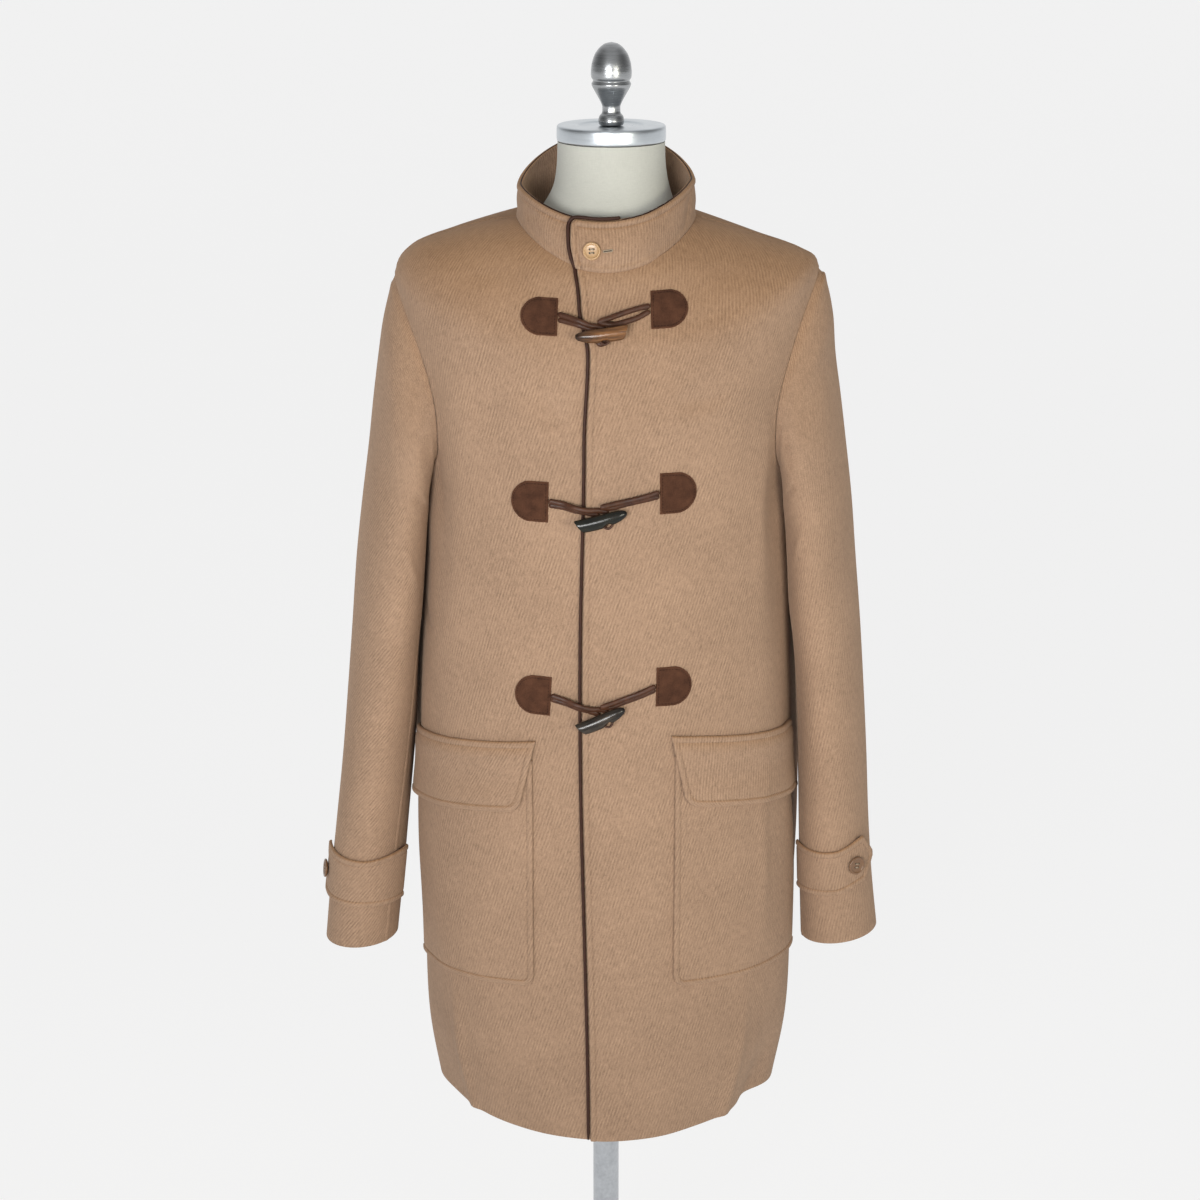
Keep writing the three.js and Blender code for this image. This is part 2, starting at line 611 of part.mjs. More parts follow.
// The cord that holds a toggle: out of the right patch, behind the toggle and back.
function toggleCord(f) {
  const place = (x, z) => ground(x, z, cordLift(x));
  const start = f.rx + 0.8;
  const strand = (side) =>
    [0, 0.3, 0.55, 0.78].map((t) =>
      place(mix(start, f.tx - 4, t), mix(f.rz, f.tz + 6, t ** 1.6) + side * mix(2.6, 2.9, t)),
    );
  const bight = [
    [-1.5, 9],
    [3.4, 7],
    [4.2, 0],
    [1.6, -6.4],
    [-1.6, -6.4],
    [-4.2, -1],
    [-5.4, 3.4],
  ].map(([dx, dz]) => place(f.tx + dx, f.tz + dz));
  return cord([...strand(1), ...bight, ...strand(-1).reverse()], STRAND, 26);
}

// The loop out of the left patch, which hooks round that cord above the toggle.
function loopCord(f) {
  const start = f.lx - 1.3;
  const high = ON_UPPER + 2 * STRAND + SEAM;
  const place = (t, side) => {
    const x = mix(start, f.tx + 6, t);
    const z = mix(f.lz, f.tz + 13.5, t ** 0.9);
    const spread = side * mix(2.6, 3.6, Math.sin(Math.PI * t));
    const lift = mix(lapLift(x) + ON_LOWER, high, smooth((f.tx + 13 - x) / 8));
    return ground(x, z + spread, lift);
  };
  const shares = [0, 0.25, 0.5, 0.75, 0.92];
  const hook = ground(f.tx - 1, f.tz + 13.4, high);
  const upper = shares.map((t) => place(t, 1));
  const lower = shares.map((t) => place(t, -1)).reverse();
  return cord([...upper, hook, ...lower], STRAND, 20);
}

// A horn toggle, turned about its length and a little bent.
function toggle(f) {
  const { long, radius, tip } = TOGGLE;
  const profile = [
    [0, -0.5], [tip, -0.48], [0.74 * radius, -0.36], [0.94 * radius, -0.16], [radius, 0.1],
    [0.95 * radius, 0.36], [0.84 * radius, 0.49], [0, 0.5],
  ].map(([r, t]) => new THREE.Vector2(r, t * long));
  const geometry = new THREE.LatheGeometry(profile, 10);
  geometry.rotateZ((-90 * f.thick) * RAD);
  const position = geometry.getAttribute("position");
  for (let i = 0; i < position.count; i++) {
    const x = position.getX(i);
    position.setY(i, position.getY(i) + TOGGLE.bend * x * x);
  }
  geometry.rotateX(90 * RAD);
  geometry.rotateY(-f.tLean * RAD);
  const at = ground(f.tx, f.tz, ON_UPPER + STRAND + 2 * SEAM + TOGGLE.radius);
  geometry.translate(at.x, at.y, at.z);
  return geometry;
}

// Pocket and flap panels lie on a front. lift(down) is how far out a row stands; down goes
// from 0 at the top to 1 at the bottom.
function sidePatch(spec, cols, rows, lift) {
  const s = spec.sign;
  const high = spec.topIn - spec.lowIn;
  const innerAt = (down) => {
    const left = Math.min(CORNER, (1 - down) * high);
    const corner = CORNER - Math.sqrt(CORNER ** 2 - (CORNER - left) ** 2);
    return s * (spec.inX + spec.slant * down + corner);
  };
  const grid = (out) =>
    rows.map((down) => {
      const innerX = innerAt(down);
      const inner = levelAt(innerX, mix(spec.topIn, spec.lowIn, down));
      const outer = levelAt(s * ringAt(3).half, mix(spec.topOut, spec.lowOut, down));
      const start = angleAt(ringAt(inner), innerX);
      return steps(0, 1, cols).map((t) => {
        const angle = mix(start, s * spec.outAt, t);
        const level = mix(inner, outer, t);
        const lap = s > 0 ? lapLift(onRing(ringAt(level), angle).x) : 0;
        return lapped(angle, level, lap).addScaledVector(bodyOut(angle, level), lift(down) + out);
      });
    });
  const outer = grid(CLOTH);
  const inner = grid(0);
  return s < 0 ? wall(outer, inner) : turned(outer, inner);
}

const pocket = (spec) =>
  sidePatch(spec, 10, [0, 0.22, 0.44, 0.66, 0.9, 0.955, 0.98, 0.995, 1], () => PANEL_GAP);

function flap(spec) {
  const sewn = 0.22; // share of the flap above the pocket
  const lift = (down) => mix(PANEL_GAP, 2 * PANEL_GAP + CLOTH, smooth(down / sewn));
  return sidePatch(spec, 10, [0, 0.12, sewn, 0.5, 0.8, 0.88, 0.95, 0.985, 1], lift);
}

// A sew-through button, its face along +Z before it is turned.
function buttonShape() {
  const { radius: r, thick: t } = BUTTON;
  const profile = [
    [0, 0], [r * 0.72, 0], [r, t * 0.5], [r * 0.96, t], [r * 0.8, t],
    [r * 0.7, t * 0.72], [0, t * 0.72],
  ];
  return lathe(profile, 14);
}

function buttonOn(point, normal) {
  const turn = new THREE.Quaternion().setFromUnitVectors(vec(0, 0, 1), normal);
  return buttonShape().applyQuaternion(turn).translate(point.x, point.y, point.z);
}

// The form: the coat's own rings, drawn in, then its neck up to the cap.
function torso() {
  const cols = 24;
  const inset = (angle, level) => {
    const beside = Math.exp(-(((Math.abs(angle) - 90) / 24) ** 2));
    const ridge = beside * smooth((level - SHOULDER_TIP - 0.2) / 0.8);
    const slack = mix(FORM_SLACK.low, FORM_SLACK.high, smooth((level - FORM_LOW) / 6));
    return CLOTH + FORM_GAP + slack * (1 - ridge) + 6 * smooth((level - NECK + 1) / 1);
  };
  const angles = steps(-180, 180, cols).slice(0, -1);
  const levels = [...steps(FORM_LOW, UNDERARM, 6), 9, 10, 11, 12, 13, 14, 14.5];
  const trunk = levels.map((level) =>
    angles.map((a) => {
      const p = onRing(ringAt(level), a).addScaledVector(bodyOut(a, level), -inset(a, level));
      return level > FORM_LOW ? p : p.setZ(ringAt(level).side);
    }),
  );
  const neck = [
    { z: 1408, half: 80, fore: 80, aft: 72 },
    { z: 1424, half: 69, fore: 70, aft: 64 },
    { z: 1442, half: 61, fore: 62, aft: 59 },
    { z: 1464, half: 57, fore: 57, aft: 57 },
    { z: CAP.low - SEAM, half: 56, fore: 56, aft: 56 },
  ].map((r, i) =>
    angles.map((a) => {
      const s = Math.sin(a * RAD);
      const c = Math.cos(a * RAD);
      const shift = NECK_SHIFT * Math.min(1, (i + 1) / 3);
      return vec(r.half * s + shift, -(c > 0 ? r.fore : r.aft) * c, r.z);
    }),
  );
  return lofted([...trunk, ...neck]);
}

function neckCap() {
  const { radius: r, low, high, dip } = CAP;
  const profile = [
    [0, low], [r - 1.5, low], [r, low + 1.5], [r, high - 2], [r - 2, high],
    [r * 0.62, high], [r * 0.55, high - dip], [0, high - dip],
  ];
  return lathe(profile, 28).translate(NECK_SHIFT, 0, 0);
}

function finial() {
  const z = CAP.high - CAP.dip + SEAM;
  const profile = [
    [0, 0], [12.5, 0], [13.5, 5], [12.5, 10], [9.5, 13], [9.5, 20], [11.5, 25], [16, 33], [20, 40],
    [20.5, 43], [18.5, 46], [20.8, 49], [21.2, 55], [20, 65], [15.5, 76], [8, 83], [0, 85],
  ].map(([r, h]) => [r, z + h]);
  return lathe(profile, 16).translate(NECK_SHIFT, 0, 0);
}

function pole() {
  const low = BASE.high + SEAM;
  const high = ringAt(FORM_LOW).side - SEAM;
  return lathe([[0, low], [POLE_RADIUS, low], [POLE_RADIUS, high], [0, high]], 20);
}

function basePlate() {
  const { radius: r, edge, high } = BASE;
  const profile = [
    [0, 0], [r - 2, 0], [r, 2], [r, edge - 3], [r - 4, edge], [60, edge + 5],
    [30, edge + 12], [24, high], [0, high],
  ];
  return lathe(profile, 30);
}

const FINISH = {
  wool: { color: 0xb08e72, roughness: 0.95 },
  suede: { color: 0x4f3226, roughness: 0.95 },
  leather: { color: 0x5c4034, roughness: 0.55 },
  horn: { color: 0x4a3b2c, roughness: 0.3 },
  button: { color: 0x9c7a4c, roughness: 0.35 },
  linen: { color: 0xdedccb, roughness: 0.8 },
  metal: { color: 0xc4c8cc, roughness: 0.3, metalness: 1 },
};

const coat = new THREE.Group();
function add(name, finish, geometry) {
  const mesh = new THREE.Mesh(geometry, new THREE.MeshStandardMaterial(FINISH[finish]));
  mesh.name = name;
  coat.add(mesh);
}

add("front_left", "wool", frontPanel(1, edgeX, lapLift, 12));
add("front_right", "wool", frontPanel(-1, () => UNDER_X, () => 0, 12));
add("back", "wool", backPanel(15));

const sleeves = { right: [RIGHT_SLEEVE, -1], left: [LEFT_SLEEVE, 1] };
for (const [name, [table, sign]] of Object.entries(sleeves)) {
  const surface = sleeveSurface(table, sign);
  add(`sleeve_${name}_top`, "wool", sleevePiece(surface, sign, BACK_SEAM, TOP_SEAM));
  add(`sleeve_${name}_under`, "wool", sleevePiece(surface, sign, TOP_SEAM, BACK_SEAM + 360));
  const strap = STRAPS.find((s) => s.name === name);
  add(`cuff_strap_${name}`, "wool", strapPiece(surface, sign, strap));
  const row = (strap.top + strap.low) / 2;
  const n = outward(surface, strap.button, row, 1, 0.03).multiplyScalar(sign);
  const lift = CLOTH + STRAP_LIFT + strapFlare(strap, strap.button) + 2 * SEAM;
  const seat = surface(strap.button, row).addScaledVector(n, lift);
  add(`cuff_button_${name}`, "button", buttonOn(seat, n));
}

const neckRing = BODY[NECK];
const lapEnd = angleAt(neckRing, COLLAR_EDGE_X);
const underEnd = angleAt(neckRing, COLLAR_UNDER_X);
add("collar", "wool", collarBand(lapEnd, 360 + underEnd, CLOTH, 0));
add("collar_facing", "wool", collarBand(lapEnd, 360 + underEnd, FACING, CLOTH + SEAM));

add("front_piping", "leather", frontPiping());
add("collar_piping", "leather", collarPiping());
const buttonSeat = collarEnd(COLLAR_BUTTON.x, COLLAR_BUTTON.share, SEAM);
const buttonFace = outward(
  (x, t) => collarEnd(x, t, SEAM),
  COLLAR_BUTTON.x,
  COLLAR_BUTTON.share,
  2,
  0.05,
);
add("collar_button", "button", buttonOn(buttonSeat, buttonFace));

for (const spec of POCKETS) add(`pocket_${spec.name}`, "wool", pocket(spec));
for (const spec of FLAPS) add(`pocket_flap_${spec.name}`, "wool", flap(spec));

for (const f of FASTENINGS) {
  add(`patch_${f.name}_right`, "suede", patch(f.rx, f.rz, -1, f.rLean, f.high));
  add(`patch_${f.name}_left`, "suede", patch(f.lx, f.lz, 1, f.lLean, f.high));
  add(`toggle_cord_${f.name}`, "leather", toggleCord(f));
  add(`loop_${f.name}`, "leather", loopCord(f));
  add(`toggle_${f.name}`, "horn", toggle(f));
}

add("form_torso", "linen", torso());
add("form_cap", "metal", neckCap());
add("form_finial", "metal", finial());
add("form_pole", "metal", pole());
add("form_base", "metal", basePlate());

export default coat;
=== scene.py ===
import math

import bpy
import numpy as np
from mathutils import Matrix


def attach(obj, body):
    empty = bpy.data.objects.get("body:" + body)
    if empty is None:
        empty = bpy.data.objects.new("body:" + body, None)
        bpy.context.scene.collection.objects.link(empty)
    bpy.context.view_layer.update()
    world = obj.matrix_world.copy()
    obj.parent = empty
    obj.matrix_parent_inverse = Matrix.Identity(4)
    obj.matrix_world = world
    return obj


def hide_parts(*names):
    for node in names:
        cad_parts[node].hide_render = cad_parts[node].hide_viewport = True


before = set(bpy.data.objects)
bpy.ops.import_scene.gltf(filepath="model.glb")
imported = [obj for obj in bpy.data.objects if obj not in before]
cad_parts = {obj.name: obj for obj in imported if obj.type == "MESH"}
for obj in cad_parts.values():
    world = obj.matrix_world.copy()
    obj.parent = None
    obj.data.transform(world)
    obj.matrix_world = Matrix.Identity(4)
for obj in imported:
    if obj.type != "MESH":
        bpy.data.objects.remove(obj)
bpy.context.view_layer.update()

MM = 0.001
RAD = math.pi / 180

# Cloth and trim
CLOTH = 2.6
FACING = 2.2
SEAM = 0.3
SUEDE = 1.6
EDGE_X, UNDER_X = -23, 38
LAP_LIFT, LAP_FLAT, LAP_FADE = 3.2, 46, 60
COLLAR_EDGE_X, COLLAR_UNDER_X = -34, 26
COLLAR_LIFT = 5.7
PIPING, PIPING_GAP = 1.6, 0.9
UNDERARM, SHOULDER_TIP, NECK = 8, 11, 15
COLLAR_BOW = 2.5


def clamp(t):
    return np.clip(t, 0.0, 1.0)


def smooth(t):
    t = clamp(t)
    return t * t * (3 - 2 * t)


def mix(a, b, t):
    return a + (b - a) * t


def table(keys, rows):
    """A table of named columns."""
    return dict(zip(keys.split(), np.array(rows, float).T))


# The body's rings: height at the side, how much higher at the front and the back and on the
# wearer's left, half width, depth to the front and the back, and squareness.
BODY = table("side front back lean half fore aft square", [
    (417, -11, 4, 0, 193, 156, 150, 1.85),
    (500, 0, 0, 0, 205.5, 156, 152, 2.1),
    (600, 0, 0, 0, 209, 155, 152, 2.25),
    (700, 0, 0, 0, 210.5, 154, 150, 2.3),
    (800, 0, 0, 0, 207, 153, 146, 2.3),
    (900, 0, 0, 0, 204, 152, 141, 2.25),
    (1000, 0, 0, 0, 201, 152, 137, 2.2),
    (1070, 0, 0, 0, 197, 152, 136, 2.2),
    (1135, 0, 0, 0, 195, 151, 136, 2.2),
    (1215, -22, -8, 0, 203, 149, 136, 2.2),
    (1290, -48, -18, 1, 213, 143, 133, 2.2),
    (1354, -66, -18, 3, 221, 136, 124, 2.15),
    (1379, -66, -8, -2, 203, 129, 114, 2.1),
    (1392, -55, 2, -3, 167, 121, 104, 2.05),
    (1403, -45, 8, -2, 130, 114, 95, 2),
    (1411, -40, 12, 0, 93.5, 107, 87, 2),
])
RIM = dict(side=1448, front=-28, back=40, lean=3, half=92, fore=94, aft=92, square=2)

# Broad folds: degrees round, level, degrees wide, levels tall, how far out.
FOLDS = [
    (63, 0, 9, 0.8, -13), (-88, 2.6, 26, 1.3, -6), (76, 1.1, 10, 2.2, 3),
    (76, 4.2, 8, 1.5, -4), (-66, 0.2, 12, 2.2, -4), (-80, 3.2, 9, 1.6, 3),
    (-78, 6.4, 8, 0.9, -4), (66, 7.6, 9, 2.4, -5), (-64, 8.4, 9, 1.6, -4),
    (-12, 7.4, 6, 1.0, -2.5), (30, 9.6, 14, 1.4, 3), (140, 1, 12, 4, 6),
    (165, 1.5, 10, 4, -4), (205, 1, 13, 4, 6), (232, 3, 9, 3, -5),
    (178, 8.5, 20, 2.5, -4),
]

# Fuller cloth under the arms and at the shoulder tips, in the same columns
FULLNESS = [
    (106, 4.6, 10, 2.9, 17), (-106, 5.0, 10, 2.4, 16), (90, 11.2, 14, 0.7, 3.5),
    (-90, 11.2, 14, 0.7, 1.5),
]

# Millimetres to a degree and to a row or level, for lines drawn on each surface
BODY_SCALE, SLEEVE_SCALE, COLLAR_SCALE = (3.5, 88), (1.15, 73), (1.65, 45)
LINE_FADE = 0.42  # the share of a line over which each of its ends fades

# Creases of the body. From one (degrees, level) to another, then how wide,
# how far out (less than 0 is a trough) and how far the line bows.
CREASES = [
    (51, 4.7, 52, 1.9, 9, 2.2, 3), (46, 2.2, 44, -1.4, 10, 4.2, -1),
    (-52, 2.2, -53, -1.4, 10, 4.2, 1), (-38, 10.2, -31, 8.8, 24, -1.9, 5),
    (18, 10.1, 37, 9.7, 22, -1.7, 6), (-14, 10.4, -13, 8.1, 11, -2.0, 0),
    (-12, 6.8, -12, 5.6, 9, -1.9, 1), (-84, 6.0, -64, 5.7, 8, -2.6, 2),
    (57, 9.4, 54, 5.6, 15, 2.0, 3), (-66, 9.4, -60, 7.2, 11, -2.2, 5),
    (-50, 8.8, -55, 5.4, 17, 1.5, -4), (14, 8.6, 24, 6.9, 16, 1.3, 5),
    (-30, 7.6, -22, 6.1, 15, 1.1, -5), (28, 5.6, 34, 4.5, 18, -1.2, 2),
    (-22, 3.9, -20, 0.7, 20, 1.2, 4), (22, 3.6, 18, 0.2, 22, -1.3, -4),
    (-36, 13.9, -52, 11.6, 15, -1.2, 5), (40, 13.9, 56, 11.5, 14, -1.3, -5),
    (128, 9.8, 116, 6.8, 12, -2.6, 5), (-124, 9.9, -113, 6.4, 13, -2.4, -4),
    (150, 13.1, 160, 8.8, 18, 1.7, 5), (-149, 12.9, -163, 9.4, 17, 1.5, -6),
    (141, 8.2, 134, 4.4, 13, -2.1, 4), (-139, 7.7, -131, 3.2, 14, -2.3, -4),
    (176, 6.8, 171, 1.0, 20, 2.0, 5), (120, 5.2, 124, 0.3, 15, -2.3, -3),
    (-118, 4.4, -121, -0.3, 15, 2.1, 3), (153, 3.6, 150, -0.4, 16, -2.1, 3),
]

ARM_FRONT, ARM_BACK, ARM_LOW = 30, 31, 0.22

# Rows down a sleeve: outer line, inner line, middle, half depth, turn.
SLEEVE_KEYS = "ox oz ix iz y deep turn"
RIGHT_SLEEVE = table(SLEEVE_KEYS, [
    (221, 1352, 195, 1135, 0, 78, 0),
    (228, 1334, 198, 1131, -1, 80, 3),
    (236, 1301, 198, 1123, -3, 81, 7),
    (241, 1264, 198, 1112, -6, 81, 11),
    (246, 1221, 197.5, 1096, -9, 80, 14),
    (252.5, 1167, 198, 1074, -11, 77, 15),
    (261.5, 1107, 200, 1040, -12, 74, 15),
    (270.5, 1042, 203, 998, -12, 71, 14),
    (278, 968, 207, 946, -12, 68, 12),
    (286, 890, 212, 878, -11, 64, 9),
    (294, 812, 218, 803, -11, 59, 4),
    (303, 736, 225, 730, -12, 54, -2),
    (312, 660, 231.5, 658, -13, 50, -7),
    (319, 594, 238, 597, -14, 47, -9),
])
LEFT_SLEEVE = table(SLEEVE_KEYS, [
    (221, 1352, 195, 1135, 0, 78, 0),
    (230.5, 1338, 198, 1131, -1, 80, 3),
    (239, 1304, 198, 1123, -3, 81, 7),
    (242.5, 1264, 198, 1112, -6, 81, 11),
    (248.5, 1221, 197.5, 1096, -9, 80, 14),
    (256, 1167, 198, 1074, -11, 77, 15),
    (264, 1107, 200, 1040, -12, 74, 15),
    (270.5, 1042, 203, 998, -12, 71, 15),
    (278, 968, 208.5, 948, -12, 68, 15),
    (284.5, 890, 213.5, 880, -12, 64, 15),
    (290, 812, 216.5, 804, -13, 60, 16),
    (294.5, 738, 218.5, 730, -14, 55, 17),
    (300.5, 669, 220.5, 661, -15, 51, 18),
    (308, 607, 223, 596, -16, 49, 19),
])
SLEEVE_BLEND = 5
TOP_SEAM, BACK_SEAM = 144, -72
SLEEVE_FOLDS = [
    (100, 5.2, 40, 0.8, -3), (60, 8.4, 45, 0.9, -2.5), (120, 7.2, 30, 0.8, 2.5),
    (250, 7.6, 50, 0.9, -3), (215, 9.2, 40, 0.8, 2.5),
]
SLEEVE_CREASES = {
    -1: [
        (118, 1.4, 92, 3.6, 9, -1.9, 4), (136, 4.1, 96, 5.0, 8, -1.8, -4),
        (80, 5.9, 128, 6.9, 9, 1.5, 4), (66, 7.4, 112, 8.3, 10, -1.4, 4),
        (34, 2.2, 48, 5.4, 15, 1.2, 4), (230, 5.8, 262, 7.0, 9, -1.9, 4),
        (214, 8.4, 250, 9.4, 9, -1.6, -3), (300, 3.0, 310, 6.4, 14, 1.5, 4),
        (200, 4.5, 200, 12.9, 24, 4.6, 3), (-30, 0.75, 30, 0.75, 16, 1.5, 0),
    ],
    1: [
        (112, 1.6, 96, 3.9, 9, -1.7, 4), (138, 3.7, 98, 4.5, 8, -1.9, -3),
        (86, 5.4, 130, 6.3, 10, 1.4, 4), (60, 8.2, 104, 9.3, 11, -1.4, -4),
        (38, 2.4, 44, 6.0, 15, 1.1, -4), (226, 6.2, 258, 7.6, 9, -1.8, 4),
        (216, 9.0, 252, 9.8, 10, -1.5, 3), (296, 3.4, 306, 6.9, 13, 1.4, 4),
        (200, 4.5, 200, 13.4, 24, 5, -3), (-30, 0.75, 30, 0.75, 16, 3.2, 0),
    ],
}

# Toggle fastenings: wearer's right and left patch edge, toggle, and the end that is square.
PATCH_STRAIGHT, PATCH_ROUND = 17, 21
FASTENINGS = {
    "top": dict(rx=-49, rz=1326.5, rLean=-2, lx=45, lz=1334, lLean=2,
                tx=-5, tz=1307.5, tLean=6, thick=1, high=36.5, open=4.6),
    "middle": dict(rx=-59.5, rz=1138.5, rLean=-1.5, lx=54.5, lz=1149, lLean=0,
                   tx=-3, tz=1123.5, tLean=17, thick=-1, high=43, open=1.5),
    "low": dict(rx=-58, rz=927.5, rLean=-3, lx=52, lz=939.5, lLean=-1,
                tx=-3, tz=907, tLean=26, thick=-1, high=43, open=1.9),
}
STRAND = 2.2
TOGGLE_LONG, TOGGLE_HIGH, TOGGLE_DEEP = 52, 7.4, 5.8
TOGGLE_BEND, TOGGLE_SLANT = 0.0022, 0.45

# Pockets and flaps, as their edges lie on the fronts.
POCKETS = {
    "right": dict(sign=-1, inX=78, slant=0, outAt=82, topIn=855, topOut=826, lowIn=592, lowOut=578),
    "left": dict(sign=1, inX=73, slant=0, outAt=80, topIn=860, topOut=832, lowIn=592, lowOut=590),
}
FLAPS = {
    "right": dict(sign=-1, inX=74, slant=18, outAt=83.5, topIn=877, topOut=850, lowIn=796,
                  lowOut=772),
    "left": dict(sign=1, inX=68, slant=17, outAt=82, topIn=884, topOut=856, lowIn=803,
                 lowOut=777),
}
CORNER, PANEL_GAP = 14, 0.7

# Cuff straps, by degrees round the sleeve and rows down it, and how their ends rise and flare.
STRAPS = {
    "right": {"from": 168, "to": -16, "top": 11.39, "low": 12.17, "button": 14,
              "tip_up": 0, "end_up": 0.1, "end_off": 3},
    "left": {"from": 150, "to": 12, "top": 11.27, "low": 12.04, "button": 43,
             "tip_up": 0.17, "end_up": 0.06, "end_off": 1},
}
STRAP_LIFT, STRAP_FLARE, STRAP_POINT = 0.6, 6, 16
BUTTON_RADIUS, BUTTON_THICK = 10.5, 3.6

# The form and its stand
FORM_LOW, FORM_GAP, NECK_SHIFT = 3, 0.4, 5.5
CAP_RADIUS, CAP_LOW, CAP_HIGH = 57, 1489, 1506
BASE_RADIUS, BASE_EDGE, POLE_RADIUS = 190, 10, 15


# Surfaces

def column(values, row):
    """A table's column at rows that need not be whole, on a Catmull-Rom curve."""
    last = len(values) - 1
    r = np.clip(row, 0, last - 1e-6)
    i = np.floor(r).astype(int)
    t = r - i
    v = np.concatenate([[2 * values[0] - values[1]], values, [2 * values[-1] - values[-2]]])
    p0, p1, p2, p3 = v[i], v[i + 1], v[i + 2], v[i + 3]
    return p1 + 0.5 * t * (p2 - p0 + t * (2 * p0 - 5 * p1 + 4 * p2 - p3
                                          + t * (3 * (p1 - p2) + p3 - p0)))


def turn_from(angle, at):
    return (angle - at + 540) % 360 - 180


def bumps(folds, angle, row):
    total = np.zeros(np.broadcast(angle, row).shape)
    for at, level, wide, tall, out in folds:
        far = (turn_from(angle, at) / wide) ** 2 + ((row - level) / tall) ** 2
        total = total + out * np.exp(-far)
    return total


def strokes(creases, angle, row, per_degree, per_row):
    """Soft lines between two places, which fade at both ends."""
    total = np.zeros(np.broadcast(angle, row).shape)
    for a0, r0, a1, r1, wide, out, bow in creases:
        x, y = turn_from(angle, a0) * per_degree, (row - r0) * per_row
        vx, vy = turn_from(a1, a0) * per_degree, (r1 - r0) * per_row
        far = math.hypot(vx, vy)
        t = (x * vx + y * vy) / far**2
        aside = (x * vy - y * vx) / far - bow * 4 * t * (1 - t)
        fade = smooth(t / LINE_FADE) * smooth((1 - t) / LINE_FADE)
        total = total + out * fade * np.exp(-((aside / wide) ** 2))
    return total


def on_ring(ring, angle, out=0.0):
    s, c = np.sin(angle * RAD), np.cos(angle * RAD)
    q = ring["square"]
    reach = (np.abs(s) ** q + np.abs(c) ** q) ** (-1 / q)
    deep = np.where(c > 0, ring["fore"], ring["aft"])
    rise = np.where(c > 0, ring["front"] * c * c, ring["back"] * np.abs(c) ** 1.4)
    height = ring["side"] + rise + ring["lean"] * s
    return np.stack([(ring["half"] * reach + out) * s, -(deep * reach + out) * c, height], -1)


def ring_at(level):
    return {k: column(v, level) for k, v in BODY.items()}


def body_base(angle, level):
    angle, level = np.broadcast_arrays(np.asarray(angle, float), np.asarray(level, float))
    fade = smooth((NECK - level) / 3)
    fine = strokes(CREASES, angle, level, *BODY_SCALE)
    fine = fine + 0.35 * np.sin(angle * 0.21 + level * 1.7) * np.sin(level * 2.3 - angle * 0.09)
    return on_ring(ring_at(level), angle, (bumps(FOLDS + FULLNESS, angle, level) + fine) * fade)


def unit(v):
    return v / np.maximum(np.linalg.norm(v, axis=-1, keepdims=True), 1e-9)


def outward(surface, u, v, du, dv):
    across = surface(u + du, v) - surface(u - du, v)
    along = surface(u, v + dv) - surface(u, v - dv)
    return unit(np.cross(across, along))


def body_out(angle, level):
    return outward(body_base, angle, np.minimum(level, NECK - 0.02), 0.4, 0.02)


def body(angle, level, out=0.0):
    return body_base(angle, level) + body_out(angle, level) * out


def lapped(angle, level, out):
    """A point moved out level, as where one front laps over the other."""
    n = body_out(angle, level)
    n = n * np.array([1, 1, 0])
    flat = np.maximum(0.6, np.linalg.norm(n, axis=-1))
    return body_base(angle, level) + unit(n) * (out / flat)[..., None]


def angle_at(ring, x):
    share = np.minimum(0.999, np.abs(x) / ring["half"])
    ahead = (1 - share ** ring["square"]) ** (1 / ring["square"])
    return np.sign(x) * np.arctan2(share, ahead) / RAD


HALVINGS = 30


def level_at(x, z):
    """The level at which the body's front has a point x aside and z high."""
    x, z = np.broadcast_arrays(np.asarray(x, float), np.asarray(z, float))
    low, high = np.zeros(x.shape), np.full(x.shape, float(NECK))
    for _ in range(HALVINGS):
        mid = (low + high) / 2
        ring = ring_at(mid)
        under = on_ring(ring, angle_at(ring, x))[..., 2] < z
        low, high = np.where(under, mid, low), np.where(under, high, mid)
    return (low + high) / 2


def lap_lift(x):
    return LAP_LIFT * (1 - smooth((x - LAP_FLAT) / LAP_FADE))


def ground(x, z, out, lift=0.0):
    """A point over the lower front, moved level by lift and then out of the surface."""
    level = level_at(x, z)
    angle = angle_at(ring_at(level), np.asarray(x, float))
    base = lapped(angle, level, np.broadcast_to(lift, level.shape))
    return base + body_out(angle, level) * np.asarray(out)[..., None]


def front(x, z, out):
    return ground(x, z, out, np.where(np.asarray(x) >= EDGE_X, lap_lift(np.asarray(x)), 0.0))


# Meshes

FINISHES = {}


def finish(obj, node, material):
    obj.data.materials.append(FINISHES[material])
    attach(obj, "root")
    if node:
        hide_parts(node)
    return obj


def mesh(name, points, faces, layers=(), sharp=None):
    """A mesh object from points in millimetres and a list of faces; layers are named UV maps,
    one pair a point; edges sharper than sharp degrees stay crisp."""
    data = bpy.data.meshes.new(name)
    data.from_pydata((np.asarray(points, float) * MM).tolist(), [], faces)
    data.update()
    at = np.zeros(len(data.loops), int)
    data.loops.foreach_get("vertex_index", at)
    for label, pairs in layers:
        uv = data.uv_layers.new(name=label)
        uv.data.foreach_set("uv", np.asarray(pairs, float)[at].ravel())
    data.polygons.foreach_set("use_smooth", [True] * len(data.polygons))
    if sharp:
        data.set_sharp_from_angle(angle=sharp * RAD)
    return linked(name, data)


def linked(name, data):
    """An object of its own in the scene for mesh, light or camera data."""
    obj = bpy.data.objects.new(name, data)
    bpy.context.scene.collection.objects.link(obj)
    return obj


def points_of(obj):
    """A mesh object's points, in metres."""
    co = np.zeros(len(obj.data.vertices) * 3)
    obj.data.vertices.foreach_get("co", co)
    return co.reshape(-1, 3)


def move_points(obj, points):
    obj.data.vertices.foreach_set("co", np.asarray(points).ravel())
    obj.data.update()
    return obj


